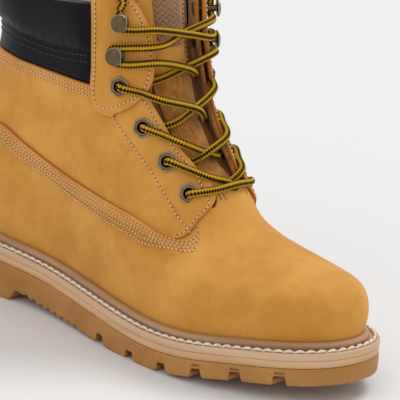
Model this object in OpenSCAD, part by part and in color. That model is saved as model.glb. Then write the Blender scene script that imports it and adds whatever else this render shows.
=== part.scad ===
// Steel toe work boot, right foot: every layer of the upper is a panel offset from one last-shaped
// surface, the sole is built up from plan outlines cut by side profiles.
// +X points to the toe, +Y to the inner (medial) side, +Z up; the heel stands on Z = 0.

/* [Sole] */
// Length of the sole from heel to toe
sole_len = 300; // [294:1:306]
// Thickness of the welt
welt_t = 4; // [3:0.5:5]
// Thickness of the midsole
midsole_t = 8; // [6:0.5:9]
// Depth of the tread grooves
tread_depth = 4.5; // [2:0.5:5]
// Width of a tread groove
groove_w = 5.5; // [3:0.5:7]

/* [Upper] */
// Thickness of the outer leather
leather_t = 1.8; // [1.4:0.1:1.8]
// Thickness of the steel toe cap
steel_t = 1.9; // [1.2:0.1:1.9]
// Thickness of the lining
lining_t = 1.2; // [0.8:0.1:1.4]
// Thickness of the tongue padding
tongue_pad = 6; // [3:0.5:7]

/* [Lacing] */
// Diameter of the lace
lace_d = 4.4; // [3:0.2:4.6]
// Bore of an eyelet
eyelet_bore = 6; // [5.4:0.2:6.4]
// Width of a hexagonal eyelet head across its flats
eyelet_head = 9.6; // [9:0.2:11]
// Diameter of a hook's round head
hook_head = 9.6; // [8:0.2:10.5]

/* [Hidden] */
$fn = 32;
honey = [0.80, 0.59, 0.30];
gum = [0.72, 0.46, 0.24];
beige = [0.76, 0.63, 0.48];
black = [0.13, 0.12, 0.14];
brown = [0.45, 0.29, 0.14];
cream = [0.83, 0.77, 0.66];
gunmetal = [0.42, 0.38, 0.31];
lace_yellow = [0.85, 0.72, 0.25];

half_len = sole_len / 2;
// Half widths of the sole along X, on the outer and the inner side: [x, half width]
half_outer = [[-150, 38], [-110, 38.5], [-50, 37.5], [20, 50.5], [70, 54.2], [110, 48], [150, 48]];
half_inner = [[-150, 38], [-110, 37], [-45, 32], [20, 43], [65, 49], [110, 43], [150, 40]];
// Height of the welt's top face along X
welt_top = [[-150, 33], [-110, 31], [-60, 27], [0, 22.5], [50, 19], [100, 23.5], [150, 28.5]];
// Height of the tread's lowest face along X, forward of the heel
tread = [[-72, 7], [-60, 5], [-45, 3], [0, 1.2], [50, 0], [100, 6.5], [150, 11]];
// Front and back centre lines of the upper from the welt up: [v, x, z]
ridge = [[0, 140.5, 30], [0.06, 143.7, 39], [0.12, 143, 49], [0.18, 137, 58], [0.25, 116, 63],
    [0.34, 95, 67.5], [0.44, 71, 75], [0.54, 53, 92], [0.66, 30, 120], [0.8, 17, 150],
    [1, 8, 188], [1.1, 5, 206]];
back = [[0, -140, 34], [0.2, -143, 58], [0.4, -138, 88], [0.6, -127, 118], [0.8, -113, 146],
    [1, -117, 176], [1.1, -119, 191]];
// How fast the upper widens behind the ridge and in front of the heel, and the shaft's half width
front_fill = [[0, 4], [0.12, 4.4], [0.2, 2.2], [0.28, 1.1], [0.36, 0.8], [0.44, 1.2], [0.52, 2.1],
    [0.66, 2.45], [0.8, 2.63], [1.1, 2.75]];
heel_round = [[0, 30], [0.5, 42], [1, 48], [1.1, 48]];
shaft_half = [[0, 33], [0.3, 35], [0.55, 34], [0.75, 37], [1, 41], [1.1, 41.5]];

// ---- smooth curves through rows of [key, value, ...] ----
function row_of(tab, t, i = 0) = i >= len(tab) - 2 || t < tab[i + 1][0] ? i : row_of(tab, t, i + 1);
function slope(tab, i, c) = let (a = max(i - 1, 0), b = min(i + 1, len(tab) - 1))
    (tab[b][c] - tab[a][c]) / (tab[b][0] - tab[a][0]);
function curve(tab, t, c = 1) =
    let (i = row_of(tab, t), h = tab[i + 1][0] - tab[i][0], w = min(max((t - tab[i][0]) / h, 0), 1))
    (2 * w * w * w - 3 * w * w + 1) * tab[i][c] + (w * w * w - 2 * w * w + w) * h * slope(tab, i, c)
    + (3 * w * w - 2 * w * w * w) * tab[i + 1][c] + (w * w * w - w * w) * h * slope(tab, i + 1, c);
function ease(a, b, t) = let (w = min(max((t - a) / (b - a), 0), 1)) w * w * (3 - 2 * w);
function arch(t, p) = let (w = min(max(t, 0), 1)) pow(1 - pow(1 - w, p), 1 / p);
function unit(v) = v / norm(v);

// ---- the last-shaped surface ----
// t runs round the boot: 0 is the front centre line, -1 and 1 the back one, below 0 the outer side.
// v runs from the welt (0) to the top line (1).
function wrap(t) = t > 1 ? t - 2 : t < -1 ? t + 2 : t;
function half_width(t, x) = curve(t < 0 ? half_outer : half_inner, x);
function at_surface(t0, v) =
    let (t = wrap(t0), xf = curve(ridge, v, 1), zf = curve(ridge, v, 2),
        xb = curve(back, v, 1), zb = curve(back, v, 2), g = (1 - cos(180 * (1 - abs(t)))) / 2,
        x = xb + (xf - xb) * g,
        sag = curve(welt_top, x) + 0.3 - (curve(welt_top, -145) * (1 - g) + 30 * g),
        z = zb + (zf - zb) * g + sag * pow(max(1 - v, 0), 3),
        fill = curve(front_fill, v), front = fill * (1 - g) + max(0, 2.6 - 1.3 * fill) * pow(1 - g, 2),
        low = half_width(t, x) - 10 + 2 * ease(0, 0.15, v),
        w = low * (1 - ease(0.25, 0.75, v)) + curve(shaft_half, v) * ease(0.25, 0.75, v))
    [x, sign(t) * w * arch(front, 2.1) * arch((x - xb) / curve(heel_round, v), 2), z];
function along(t, v) = unit(at_surface(t + 0.004, v) - at_surface(t - 0.004, v));
function upward(t, v) = unit(at_surface(t, min(v + 0.004, 1.1)) - at_surface(t, max(v - 0.004, 0)));
function outward(t, v) = unit(cross(along(t, v), upward(t, v)));
function off_surface(t, v, off) = at_surface(t, v) + off * outward(t, v);

// The sole is wider on its outer side, so everything moves over to put the origin under its middle
centring = 2.65;
module centred() translate([0, centring, 0]) children();

// ---- closed solids from grids of points ----
function grid_faces(m, n, o) = [for (i = [0:m - 2], j = [0:n - 2])
    let (a = o + i * n + j, b = a + n) each [[a, a + 1, b], [b, a + 1, b + 1]]];
function flip(faces) = [for (f = faces) [f[2], f[1], f[0]]];
function seam(p, q, a, b) = [[p, q, a], [q, b, a]];
// Two grids of m by n points, outer first, closed round their four edges
module shell(outer, inner, m, n, mirrored = false) {
    k = m * n;
    edges = [
        for (i = [0:m - 2]) each seam(i * n, (i + 1) * n, k + i * n, k + (i + 1) * n),
        for (i = [0:m - 2]) each seam((i + 1) * n + n - 1, i * n + n - 1, k + (i + 1) * n + n - 1,
            k + i * n + n - 1),
        for (j = [0:n - 2]) each seam(j + 1, j, k + j + 1, k + j),
        for (j = [0:n - 2]) each seam((m - 1) * n + j, (m - 1) * n + j + 1, k + (m - 1) * n + j,
            k + (m - 1) * n + j + 1)];
    faces = concat(grid_faces(m, n, 0), flip(grid_faces(m, n, k)), edges);
    polyhedron([each outer, each inner], mirrored ? flip(faces) : faces);
}
function offset_at(off, v) = is_list(off) ? lookup(v, off) : off;
// A panel between a lower and an upper edge: rows [t, v low, v high], points every step of a row
module panel_across(rows, outer, inner, m, n, side = -1) {
    t0 = rows[0][0];
    t1 = rows[len(rows) - 1][0];
    pts = [for (i = [0:m - 1], j = [0:n - 1])
        let (t = t0 + (t1 - t0) * i / (m - 1), lo = curve(rows, t, 1), hi = curve(rows, t, 2))
        [t, lo + (hi - lo) * j / (n - 1)]];
    panel(pts, outer, inner, m, n, side);
}
// A panel between two side edges: rows [v, t start, t end]
module panel_up(rows, outer, inner, m, n, side = -1) {
    v0 = rows[0][0];
    v1 = rows[len(rows) - 1][0];
    pts = [for (i = [0:m - 1], j = [0:n - 1])
        let (v = v0 + (v1 - v0) * j / (n - 1), a = curve(rows, v, 1), b = curve(rows, v, 2))
        [a + (b - a) * i / (m - 1), v]];
    panel(pts, outer, inner, m, n, side);
}
// side -1 takes t as given, side 1 mirrors the panel to the other side of the boot
module panel(pts, outer, inner, m, n, side) {
    shell([for (p = pts) off_surface(-side * p[0], p[1], offset_at(outer, p[1]))],
        [for (p = pts) off_surface(-side * p[0], p[1], offset_at(inner, p[1]))],
        m, n, side < 0);
}
// A round tube along a list of points, mitred where it bends
function bend_dir(path, i, closed) = let (n = len(path),
    a = closed ? path[(i + n - 1) % n] : path[max(i - 1, 0)],
    b = closed ? path[(i + 1) % n] : path[min(i + 1, n - 1)],
    p = i > 0 || closed ? unit(path[i] - a) : unit(b - path[i]),
    q = i < n - 1 || closed ? unit(b - path[i]) : p) unit(p + q);
function carried(path, i, u) = unit(u - (u * bend_dir(path, i, false)) * bend_dir(path, i, false));
function ups(path, i, u) = i >= len(path) ? [] :
    let (w = carried(path, i, u)) concat([w], ups(path, i + 1, w));
module tube(path, d, sides) {
    n = len(path);
    start_up = abs(bend_dir(path, 0, false)[2]) > 0.8 ? [1, 0, 0] : [0, 0, 1];
    up = ups(path, 0, start_up);
    rings = [for (i = [0:n - 1]) let (f = bend_dir(path, i, false), r = cross(f, up[i]),
            p = i > 0 ? unit(path[i] - path[i - 1]) : f, stretch = 1 / max(p * f, 0.7),
            side_dir = i > 0 && i < n - 1 && norm(cross(p, f)) > 0.02
                ? unit(p - (p * f) * f) : [0, 0, 0])
        for (k = [0:sides - 1]) let (a = 360 * k / sides,
            o = d / 2 * (cos(a) * up[i] + sin(a) * r))
            path[i] + o + (o * side_dir) * (stretch - 1) * side_dir];
    body = [for (i = [0:n - 2], k = [0:sides - 1]) let (a = i * sides + k,
        b = i * sides + (k + 1) % sides) each [[a, a + sides, b], [b, a + sides, b + sides]]];
    caps = [[for (k = [0:sides - 1]) k], [for (k = [sides - 1:-1:0]) (n - 1) * sides + k]];
    polyhedron(rings, concat(body, caps));
}
// Moves a child from the origin to a place on the surface, with its Z axis along the normal
module on_surface(t, v, off = 0) {
    n = outward(t, v);
    translate(off_surface(t, v, off)) rotate([0, acos(n[2]), atan2(n[1], n[0])]) children();
}

// ---- sole ----
function sole_edge(side, inset) = [for (i = [0:40]) let (l = half_len - inset,
    x = -l * cos(180 * i / 40))
    [x, side * (curve(side < 0 ? half_outer : half_inner, x) - inset)
        * arch((x + l) / (38 - inset), 2) * arch((l - x) / (75 - inset), 2.2)]];
function sole_outline(inset) = let (o = sole_edge(-1, inset), i = sole_edge(1, inset))
    concat(o, [for (k = [39:-1:1]) i[k]]);
// Plan outline that follows the upper's foot line at a distance inside it
function foot_outline(off) = [for (i = [0:79]) let (p = off_surface(-1 + i / 40, 0.01, off))
    [p[0], p[1]]];
profile_x = [for (i = [0:30]) -half_len - 1 + i * (sole_len + 2) / 30];
// Side profile between two heights measured down from the welt's top face
module layer_profile(top, bottom) {
    rotate([90, 0, 0]) linear_extrude(160, center = true)
        polygon(concat([for (x = profile_x) [x, curve(welt_top, x) + top]],
            [for (i = [30:-1:0]) [profile_x[i], curve(welt_top, profile_x[i]) + bottom]]));
}
module sole_layer(inset, top, bottom) {
    intersection() {
        linear_extrude(80, center = true) polygon(sole_outline(inset));
        layer_profile(top, bottom);
    }
}
module foot_layer(off, top, bottom) {
    intersection() {
        linear_extrude(80, center = true) polygon(foot_outline(off));
        layer_profile(top, bottom);
    }
}
heel_front = -72;
tread_x = [for (i = [0:24]) heel_front + i * (half_len + 1 - heel_front) / 24];
groove_xs = [8, 34, 59, 82, 103, 125];
module tread_profile() {
    top = -welt_t - midsole_t;
    rotate([90, 0, 0]) linear_extrude(160, center = true)
        polygon(concat([for (x = profile_x) [x, curve(welt_top, x) + top]],
            [for (i = [24:-1:0]) [tread_x[i], curve(tread, tread_x[i])]],
            [[heel_front - 2, 0], [-half_len - 1, 0]]));
}
// Grooves from each edge, a zigzag centre channel and the fine ribs of the waist
module outsole() color(gum) difference() {
    intersection() {
        linear_extrude(80, center = true) polygon(sole_outline(0));
        tread_profile();
    }
    for (x = groove_xs, side = [-1, 1])
        translate([x, side * 45, curve(tread, x)])
            cube([groove_w, 46, tread_depth * 2], center = true);
    for (x = groove_xs)
        translate([x + 11, 0, curve(tread, x)])
            cube([groove_w, 30, tread_depth * 2], center = true);
    for (i = [0:7])
        translate([-62 + 6.5 * i, 0, curve(tread, -62 + 6.5 * i)])
            cube([3, 120, 2.4], center = true);
    for (x = [-140, -125, -110], side = [-1, 1])
        translate([x + 8, side * 34, 0]) cube([groove_w, 34, tread_depth * 2], center = true);
}
module midsole() color(beige) sole_layer(0.4, -welt_t, -welt_t - midsole_t);
module welt() color(beige) difference() {
    sole_layer(0, 0, -welt_t);
    linear_extrude(80, center = true) polygon(foot_outline(-7));
}
// Rounded strip that closes the corner between the welt and the upper
rand_r = 1.9;
module rand() color(beige) {
    n = 60;
    ring = [for (i = [0:n - 1], k = [0:7]) let (t = -1 + 2 * i / n, p = off_surface(t, 0, 0.9 + rand_r),
        o = outward(t, 0), f = unit([o[0], o[1], 0]), a = 45 * k)
        [p[0], p[1], curve(welt_top, p[0]) + 0.05 + rand_r]
            + rand_r * (cos(a) * f + sin(a) * [0, 0, 1])];
    faces = [for (i = [0:n - 1], k = [0:7]) let (a = i * 8 + k, b = i * 8 + (k + 1) % 8,
        c = ((i + 1) % n) * 8 + k, d = ((i + 1) % n) * 8 + (k + 1) % 8) each [[a, b, c], [c, b, d]]];
    polyhedron(ring, faces);
}
// Cork that fills the space inside the welt, with a slot for the shank
module bottom_filler() color(brown) difference() {
    foot_layer(-7.4, -0.2, -welt_t + 0.1);
    translate([-40, 0, 25]) cube([116, 19, 40], center = true);
}
// Sprung steel strip that stiffens the waist between heel and ball
module shank() color("silver") intersection() {
    translate([-40, 0, 25]) cube([114, 17, 40], center = true);
    layer_profile(-1.2, -2.6);
}
module insole_board() color(cream) foot_layer(-6.6, 1.8, 0.1);
footbed_t = 4.5;
module footbed() color(black) intersection() {
    linear_extrude(80, center = true) polygon([for (p = foot_outline(-9)) p]);
    layer_profile(2.2 + footbed_t, 2.2);
}

// ---- toe and heel stiffeners ----
module steel_toe_cap() color("slategray") panel_across(
    [[-0.29, 0.02, 0.05], [-0.26, 0.02, 0.18], [-0.2, 0.02, 0.30], [-0.1, 0.02, 0.355], [0, 0.02, 0.37],
        [0.1, 0.02, 0.355], [0.2, 0.02, 0.30], [0.26, 0.02, 0.18], [0.29, 0.02, 0.05]],
    -2.6, -2.6 - steel_t, 27, 10);
module toe_cap_edge_strip() color("dimgray") panel_across(
    [[-0.25, 0.225, 0.26], [-0.2, 0.31, 0.34], [-0.1, 0.365, 0.39], [0, 0.38, 0.405],
        [0.1, 0.365, 0.39], [0.2, 0.31, 0.34], [0.25, 0.225, 0.26]],
    -2.8, -4.0, 21, 2);
module heel_counter() color(cream) panel_across(
    [[0.62, 0.02, 0.16], [0.7, 0.02, 0.30], [1, 0.02, 0.40], [1.3, 0.02, 0.30], [1.38, 0.02, 0.16]],
    -2.1, -4.2, 23, 7);

// ---- upper ----
// Height of the seam between the vamp and the quarters, going forward from the back
seam_line = [[0, 0.505], [0.31, 0.495], [0.38, 0.458], [0.46, 0.418], [0.55, 0.39], [0.62, 0.357],
    [0.66, 0.312], [0.69, 0.318], [0.74, 0.375], [0.795, 0.432], [0.88, 0.49], [0.92, 0.512], [1, 0.50]];
seam_gap = 0.006;
module vamp() color(honey) panel_across(
    [for (t = [-0.997:0.997 / 40:0.998]) [t, 0, curve(seam_line, 1 - abs(t))]], 0, -leather_t, 81, 13);
lining_out = -4.8;
module vamp_lining() color(cream) panel_across(
    [[-0.295, 0.01, 0.34], [-0.2, 0.01, 0.42], [0, 0.01, 0.485], [0.2, 0.01, 0.42], [0.295, 0.01, 0.34]],
    lining_out - 0.3, lining_out - 0.3 - lining_t, 25, 10);
// Quarter from the backstay to the lacing edge
quarter_top = [[0, 0.76], [0.31, 0.748], [0.38, 0.739], [0.5, 0.729], [0.64, 0.722], [0.79, 0.719],
    [0.815, 0.71], [0.833, 0.67], [0.852, 0.624], [0.887, 0.578], [0.917, 0.525]];
quarter_rows = [for (i = [0:46]) let (t = -0.997 + i * 0.997 / 50)
    [t, curve(seam_line, 1 + t) + seam_gap, curve(quarter_top, 1 + t)]];
module quarter(side) color(honey) panel_across(quarter_rows, 0, -leather_t, 47, 8, side);
module quarter_outer() difference() {
    quarter(-1);
    lace_holes(-1);
}
module quarter_inner() difference() {
    quarter(1);
    lace_holes(1);
}
module backstay() color(honey) panel_up([[0.02, 0.95, 1.05], [0.5, 0.945, 1.055], [0.955, 0.945, 1.055]],
    leather_t + 0.1, 0.2, 5, 13);
// Reinforced strip that carries the hooks, sewn over the quarter and the collar
stay_rows = [[0.652, -0.345, -0.315], [0.662, -0.37, -0.307], [0.68, -0.374, -0.265],
    [0.70, -0.370, -0.228], [0.735, -0.362, -0.177], [0.77, -0.352, -0.150], [0.834, -0.338, -0.128],
    [0.894, -0.325, -0.137], [0.95, -0.315, -0.160], [0.985, -0.310, -0.190]];
stay_inside = [[0.74, 0.2], [0.7401, -1.8]];
module stay(side) color(honey) panel_up(stay_rows, 1.8, stay_inside, 9, 18, side);
module hook_stay_outer() difference() {
    stay(-1);
    lace_holes(-1);
}
module hook_stay_inner() difference() {
    stay(1);
    lace_holes(1);
}
// Rough leather strip behind the eyelets and hooks
facing_rows = [[0.49, -0.20, -0.13], [0.52, -0.24, -0.088], [0.578, -0.28, -0.117],
    [0.624, -0.295, -0.152], [0.67, -0.30, -0.171], [0.71, -0.31, -0.186], [0.77, -0.31, -0.154],
    [0.834, -0.305, -0.132], [0.894, -0.30, -0.141], [0.95, -0.295, -0.164], [0.97, -0.29, -0.18]];
module facing(side) color(brown) panel_up(facing_rows, -2.0, -4.0, 8, 17, side);
module facing_lining_outer() difference() {
    facing(-1);
    lace_holes(-1);
}
module facing_lining_inner() difference() {
    facing(1);
    lace_holes(1);
}
// Padded black leather collar halves over one foam ring, with a flat band below them
collar_rows = [[0.835, 0.345, 0.938], [0.84, 0.343, 0.938], [0.90, 0.328, 0.938], [0.955, 0.317, 0.938]];
module collar_cover(side) color(black) panel_up(collar_rows,
    [[0.835, 0.8], [0.86, 2.4], [0.90, 3.2], [0.93, 2.6], [0.955, 0.8]], 0, 22, 9, side);
module collar_cover_outer() collar_cover(1);
module collar_cover_inner() collar_cover(-1);
module collar_foam() color("gainsboro") panel_up([[0.83, 0.345, 1.655], [0.95, 0.32, 1.68]],
    -0.3, -4.1, 33, 5);
module collar_band() color(black) panel_up([[0.764, 0.362, 1.638], [0.83, 0.348, 1.652]],
    0, -1.6, 41, 4);
module shaft_padding() color("gainsboro") panel_up([[0.42, 0.40, 1.60], [0.76, 0.40, 1.60]],
    -2.1, -4.1, 29, 6);
module shaft_lining() color(cream) panel_up([[0.02, 0.305, 1.695], [0.35, 0.305, 1.695],
    [0.955, 0.335, 1.665]], lining_out, lining_out - lining_t, 45, 11);

// ---- tongue: hinged where it is sewn in at the throat ----
tongue_off = -10.8;
tongue_rows = [[0.515, -0.07, 0.07], [0.56, -0.10, 0.10], [0.65, -0.14, 0.14], [0.78, -0.17, 0.17],
    [0.95, -0.17, 0.17], [1.04, -0.165, 0.165], [1.06, -0.13, 0.13]];
module tongue_face() color(honey) panel_up(tongue_rows, tongue_off, tongue_off - 1.4, 13, 14);
module tongue_patch() color(brown) panel_up([[0.84, -0.085, 0.085], [0.97, -0.085, 0.085]],
    tongue_off + 1.2, tongue_off + 0.1, 9, 6);
module tongue_foam() color("gainsboro") panel_up([for (r = tongue_rows) [r[0], r[1] * 0.94, r[2] * 0.94]],
    tongue_off - 1.95, tongue_off - 1.5 - tongue_pad, 11, 12);
module tongue_lining() color(cream) panel_up([for (r = tongue_rows) [r[0], r[1] * 0.94, r[2] * 0.94]],
    tongue_off - 1.6 - tongue_pad, tongue_off - 2.6 - tongue_pad, 11, 12);
// Folded suede bellows that close the gap beside the tongue
module gusset(side) color(brown) panel_up([[0.54, -0.165, -0.125], [0.60, -0.205, -0.16],
    [0.70, -0.235, -0.195], [0.82, -0.24, -0.20]], -10.7, -11.9, 4, 9, side);
module gusset_outer() gusset(-1);
module gusset_inner() gusset(1);

// ---- eyelets and hooks ----
// Places of the four eyelets from the toe up, then the two hooks: [t, v]
eyelets = [[-0.178, 0.514], [-0.203, 0.578], [-0.235, 0.642], [-0.268, 0.736]];
hooks = [[-0.255, 0.820], [-0.225, 0.912]];
// Outer leather's height over the surface at each eyelet
eyelet_seat = [0, 0, 0.15, 1.8];
hook_seat = 1.8;
module lace_holes(side) {
    for (e = eyelets)
        on_surface(-side * e[0], e[1], -8) cylinder(d = eyelet_bore + 1.6, h = 14);
    for (h = hooks)
        on_surface(-side * h[0], h[1], -8) cylinder(d = 3.2, h = 14);
}
// Hexagonal head with a domed rim, and a barrel that goes through the leather
module eyelet(side, k) color(gunmetal) {
    e = eyelets[k];
    on_surface(-side * e[0], e[1], eyelet_seat[k] + 0.15) difference() {
        union() {
            rotate(30) cylinder(d = eyelet_head / cos(30), h = 0.9, $fn = 6);
            cylinder(d = eyelet_bore + 2, h = 1.3);
            translate([0, 0, -4.5 - eyelet_seat[k]]) cylinder(d = eyelet_bore + 1.2, h = 4.6 + eyelet_seat[k]);
        }
        translate([0, 0, -9]) cylinder(d = eyelet_bore, h = 20);
    }
}
module eyelet_outer_1() eyelet(-1, 0);
module eyelet_outer_2() eyelet(-1, 1);
module eyelet_outer_3() eyelet(-1, 2);
module eyelet_outer_4() eyelet(-1, 3);
module eyelet_inner_1() eyelet(1, 0);
module eyelet_inner_2() eyelet(1, 1);
module eyelet_inner_3() eyelet(1, 2);
module eyelet_inner_4() eyelet(1, 3);
// Rolled-over backs of the eyelets
module eyelet_washers() color(gunmetal) for (side = [-1, 1], k = [0:3])
    on_surface(-side * eyelets[k][0], eyelets[k][1], -5) difference() {
        cylinder(d = 8.6, h = 0.4);
        translate([0, 0, -1]) cylinder(d = eyelet_bore + 1.4, h = 3);
    }
// Round foot, stem and domed head of a boot hook
module hook(side, k) color(gunmetal) on_surface(-side * hooks[k][0], hooks[k][1], hook_seat + 0.15) {
    cylinder(d = 8.4, h = 0.8);
    cylinder(d = 3.6, h = 7);
    translate([0, 0, 6.4]) cylinder(d = hook_head, h = 1);
    translate([0, 0, 7.4]) intersection() {
        translate([0, 0, -9]) sphere(r = 10.2);
        cylinder(d = hook_head, h = 3);
    }
}
module hook_outer_1() hook(-1, 0);
module hook_outer_2() hook(-1, 1);
module hook_inner_1() hook(1, 0);
module hook_inner_2() hook(1, 1);
// Rivets that clench the hooks behind the facing
module hook_rivets() color(gunmetal) for (side = [-1, 1], h = hooks)
    on_surface(-side * h[0], h[1], -4.9) {
        cylinder(d = 7, h = 0.5);
        cylinder(d = 2.6, h = 4.9 + hook_seat + 0.1);
    }

// ---- lace ----
// A hole is entered from outside and left under the facing; a crossing passes over or under its twin
lace_over = 4.4;
lace_under = -7.5;
facing_edge = [-0.070, -0.088, -0.125, -0.150];
cross_high = -1.6;
cross_low = -6.4;
function mirror_t(p, side) = -side * p;
function hole_pts(side, k) = let (t = mirror_t(eyelets[k][0], side), v = eyelets[k][1],
    c = at_surface(t, v), n = outward(t, v))
    [c + (lace_over + eyelet_seat[k]) * n, c + lace_under * n];
function over_edge(side, k, dv) = off_surface(mirror_t(facing_edge[k], side), eyelets[k][1] + dv, 3.5);
function under_edge(side, k, dv) = off_surface(mirror_t(facing_edge[k], side), eyelets[k][1] + dv, lace_under);
function middle(k, off) = off_surface(0, (eyelets[k][1] + eyelets[k + 1][1]) / 2, off);
// From the hole k on one side to the hole k + 1 on the other side
function crossing(side, k) = let (high = (side > 0) == (k % 2 == 0))
    [hole_pts(side, k)[1], under_edge(side, k, 0.02), middle(k, high ? cross_high : cross_low),
        over_edge(-side, k + 1, -0.025), hole_pts(-side, k + 1)[0]];
// Round the back of a hook, going up
hook_lace = 5.2;
stay_clear = 4.7;
function hook_pts(side, k) = let (t = mirror_t(hooks[k][0], side), v = hooks[k][1],
    c = off_surface(t, v, hook_lace), a = -side * along(t, v), u = upward(t, v))
    [c + 4.6 * a - 4.6 * u, c - 2.6 * a - 4 * u, c - 4.9 * a, c - 2.6 * a + 4 * u, c + 4.6 * a + 4.6 * u];
function to_hook(side) = concat([hole_pts(side, 3)[1],
    off_surface(mirror_t(-0.15, side), 0.755, lace_under),
    off_surface(0, 0.782, side > 0 ? cross_high : cross_low),
    off_surface(mirror_t(-0.125, -side), 0.80, stay_clear)], hook_pts(-side, 0));
function between_hooks(side) = concat([off_surface(mirror_t(-0.115, side), 0.845, stay_clear),
    off_surface(0, 0.868, side > 0 ? 2.6 : -2.4), off_surface(mirror_t(-0.12, -side), 0.887, stay_clear)],
    [for (i = [0:3]) hook_pts(-side, 1)[i]]);
// Half of the laced part, from the bar at the lowest eyelets to the top hook on the given side
function half_lace(side) = concat([hole_pts(side, 0)[0]], crossing(side, 0), crossing(-side, 1),
    crossing(side, 2), to_hook(-side), between_hooks(side), [lace_exit(-side)]);
function lace_exit(side) = off_surface(mirror_t(-0.235, side), 0.945, hook_lace);
function reversed(list) = [for (i = [len(list) - 1:-1:0]) list[i]];
lace_bar = [off_surface(mirror_t(-0.09, -1), 0.527, 3.4), off_surface(0, 0.535, 1.6),
    off_surface(mirror_t(-0.09, 1), 0.527, 3.4)];
lace_path = concat(reversed(half_lace(-1)), lace_bar, half_lace(1));
module lace() color(lace_yellow) tube(lace_path, lace_d, 10);
// Free ends: over the top edge and down the inside of the shaft, outer side; the inner one mirrors Y
end_route = [[-14, -39, 191], [-22, -35, 197], [-30, -29, 193], [-33, -25, 180], [-34, -22, 160],
    [-34, -20, 140], [-35, -18, 118], [-36, -16, 96]];
function end_path(side) = concat([lace_exit(side), lace_exit(side)
    + 5 * unit(lace_exit(side) - hook_pts(side, 1)[3])],
    [for (p = end_route) [p[0], -side * p[1], p[2]]]);
module lace_end_outer() color(lace_yellow) tube(end_path(-1), lace_d, 10);
module lace_end_inner() color(lace_yellow) tube(end_path(1), lace_d, 10);
aglet_len = 20;
module aglet(side) color(black) {
    n = len(end_route);
    a = end_path(side)[n + 1];
    d = unit(a - end_path(side)[n]);
    translate(a) rotate([0, acos(d[2]), atan2(d[1], d[0])]) cylinder(d = 3.6, h = aglet_len);
}
module aglet_outer() aglet(-1);
module aglet_inner() aglet(1);

centred() outsole();
centred() midsole();
centred() welt();
centred() rand();
centred() bottom_filler();
centred() shank();
centred() insole_board();
centred() footbed();
centred() steel_toe_cap();
centred() toe_cap_edge_strip();
centred() heel_counter();
centred() vamp();
centred() vamp_lining();
centred() quarter_outer();
centred() quarter_inner();
centred() backstay();
centred() hook_stay_outer();
centred() hook_stay_inner();
centred() facing_lining_outer();
centred() facing_lining_inner();
centred() collar_cover_outer();
centred() collar_cover_inner();
centred() collar_foam();
centred() collar_band();
centred() shaft_padding();
centred() shaft_lining();
centred() tongue_face();
centred() tongue_patch();
centred() tongue_foam();
centred() tongue_lining();
centred() gusset_outer();
centred() gusset_inner();
centred() eyelet_outer_1();
centred() eyelet_outer_2();
centred() eyelet_outer_3();
centred() eyelet_outer_4();
centred() eyelet_inner_1();
centred() eyelet_inner_2();
centred() eyelet_inner_3();
centred() eyelet_inner_4();
centred() eyelet_washers();
centred() hook_outer_1();
centred() hook_outer_2();
centred() hook_inner_1();
centred() hook_inner_2();
centred() hook_rivets();
centred() lace();
centred() lace_end_outer();
centred() lace_end_inner();
centred() aglet_outer();
centred() aglet_inner();
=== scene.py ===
import math

import bpy
import numpy as np
from mathutils import Matrix


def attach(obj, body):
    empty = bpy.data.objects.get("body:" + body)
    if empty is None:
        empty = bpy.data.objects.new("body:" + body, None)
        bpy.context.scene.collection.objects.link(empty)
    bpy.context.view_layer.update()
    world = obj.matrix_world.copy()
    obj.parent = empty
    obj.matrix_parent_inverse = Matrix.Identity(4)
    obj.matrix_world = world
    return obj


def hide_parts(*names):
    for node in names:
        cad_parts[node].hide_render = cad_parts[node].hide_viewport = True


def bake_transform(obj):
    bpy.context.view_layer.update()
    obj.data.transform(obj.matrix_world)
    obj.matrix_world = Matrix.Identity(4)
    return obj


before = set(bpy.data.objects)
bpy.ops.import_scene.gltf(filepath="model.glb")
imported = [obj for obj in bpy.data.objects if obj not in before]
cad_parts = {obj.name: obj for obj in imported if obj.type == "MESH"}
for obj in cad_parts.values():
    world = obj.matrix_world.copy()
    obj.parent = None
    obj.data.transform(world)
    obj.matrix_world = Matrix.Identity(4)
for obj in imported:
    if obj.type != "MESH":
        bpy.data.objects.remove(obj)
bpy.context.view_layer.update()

# ---- the view: a long lens in front of the toe's outer side, a little above the boot, turned a
# few degrees so that the sole runs down towards the toe
eye = np.array([0.873, -0.910, 0.436])
aim = np.array([0.0305, 0.0027, 0.0769])
ahead = (aim - eye) / np.linalg.norm(aim - eye)
level = np.cross(ahead, (0, 0, 1))
level /= np.linalg.norm(level)
above = np.cross(level, ahead)
turn = math.radians(3.15)
lens = bpy.data.cameras.new("long_lens")
lens.lens = 220
lens.clip_end = 20
camera = bpy.data.objects.new("camera", lens)
bpy.context.collection.objects.link(camera)
bpy.context.scene.camera = camera
camera.matrix_world = Matrix(np.vstack([np.column_stack([
    math.cos(turn) * level + math.sin(turn) * above,
    -math.sin(turn) * level + math.cos(turn) * above, -ahead, eye]), (0, 0, 0, 1)]).tolist())

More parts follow.
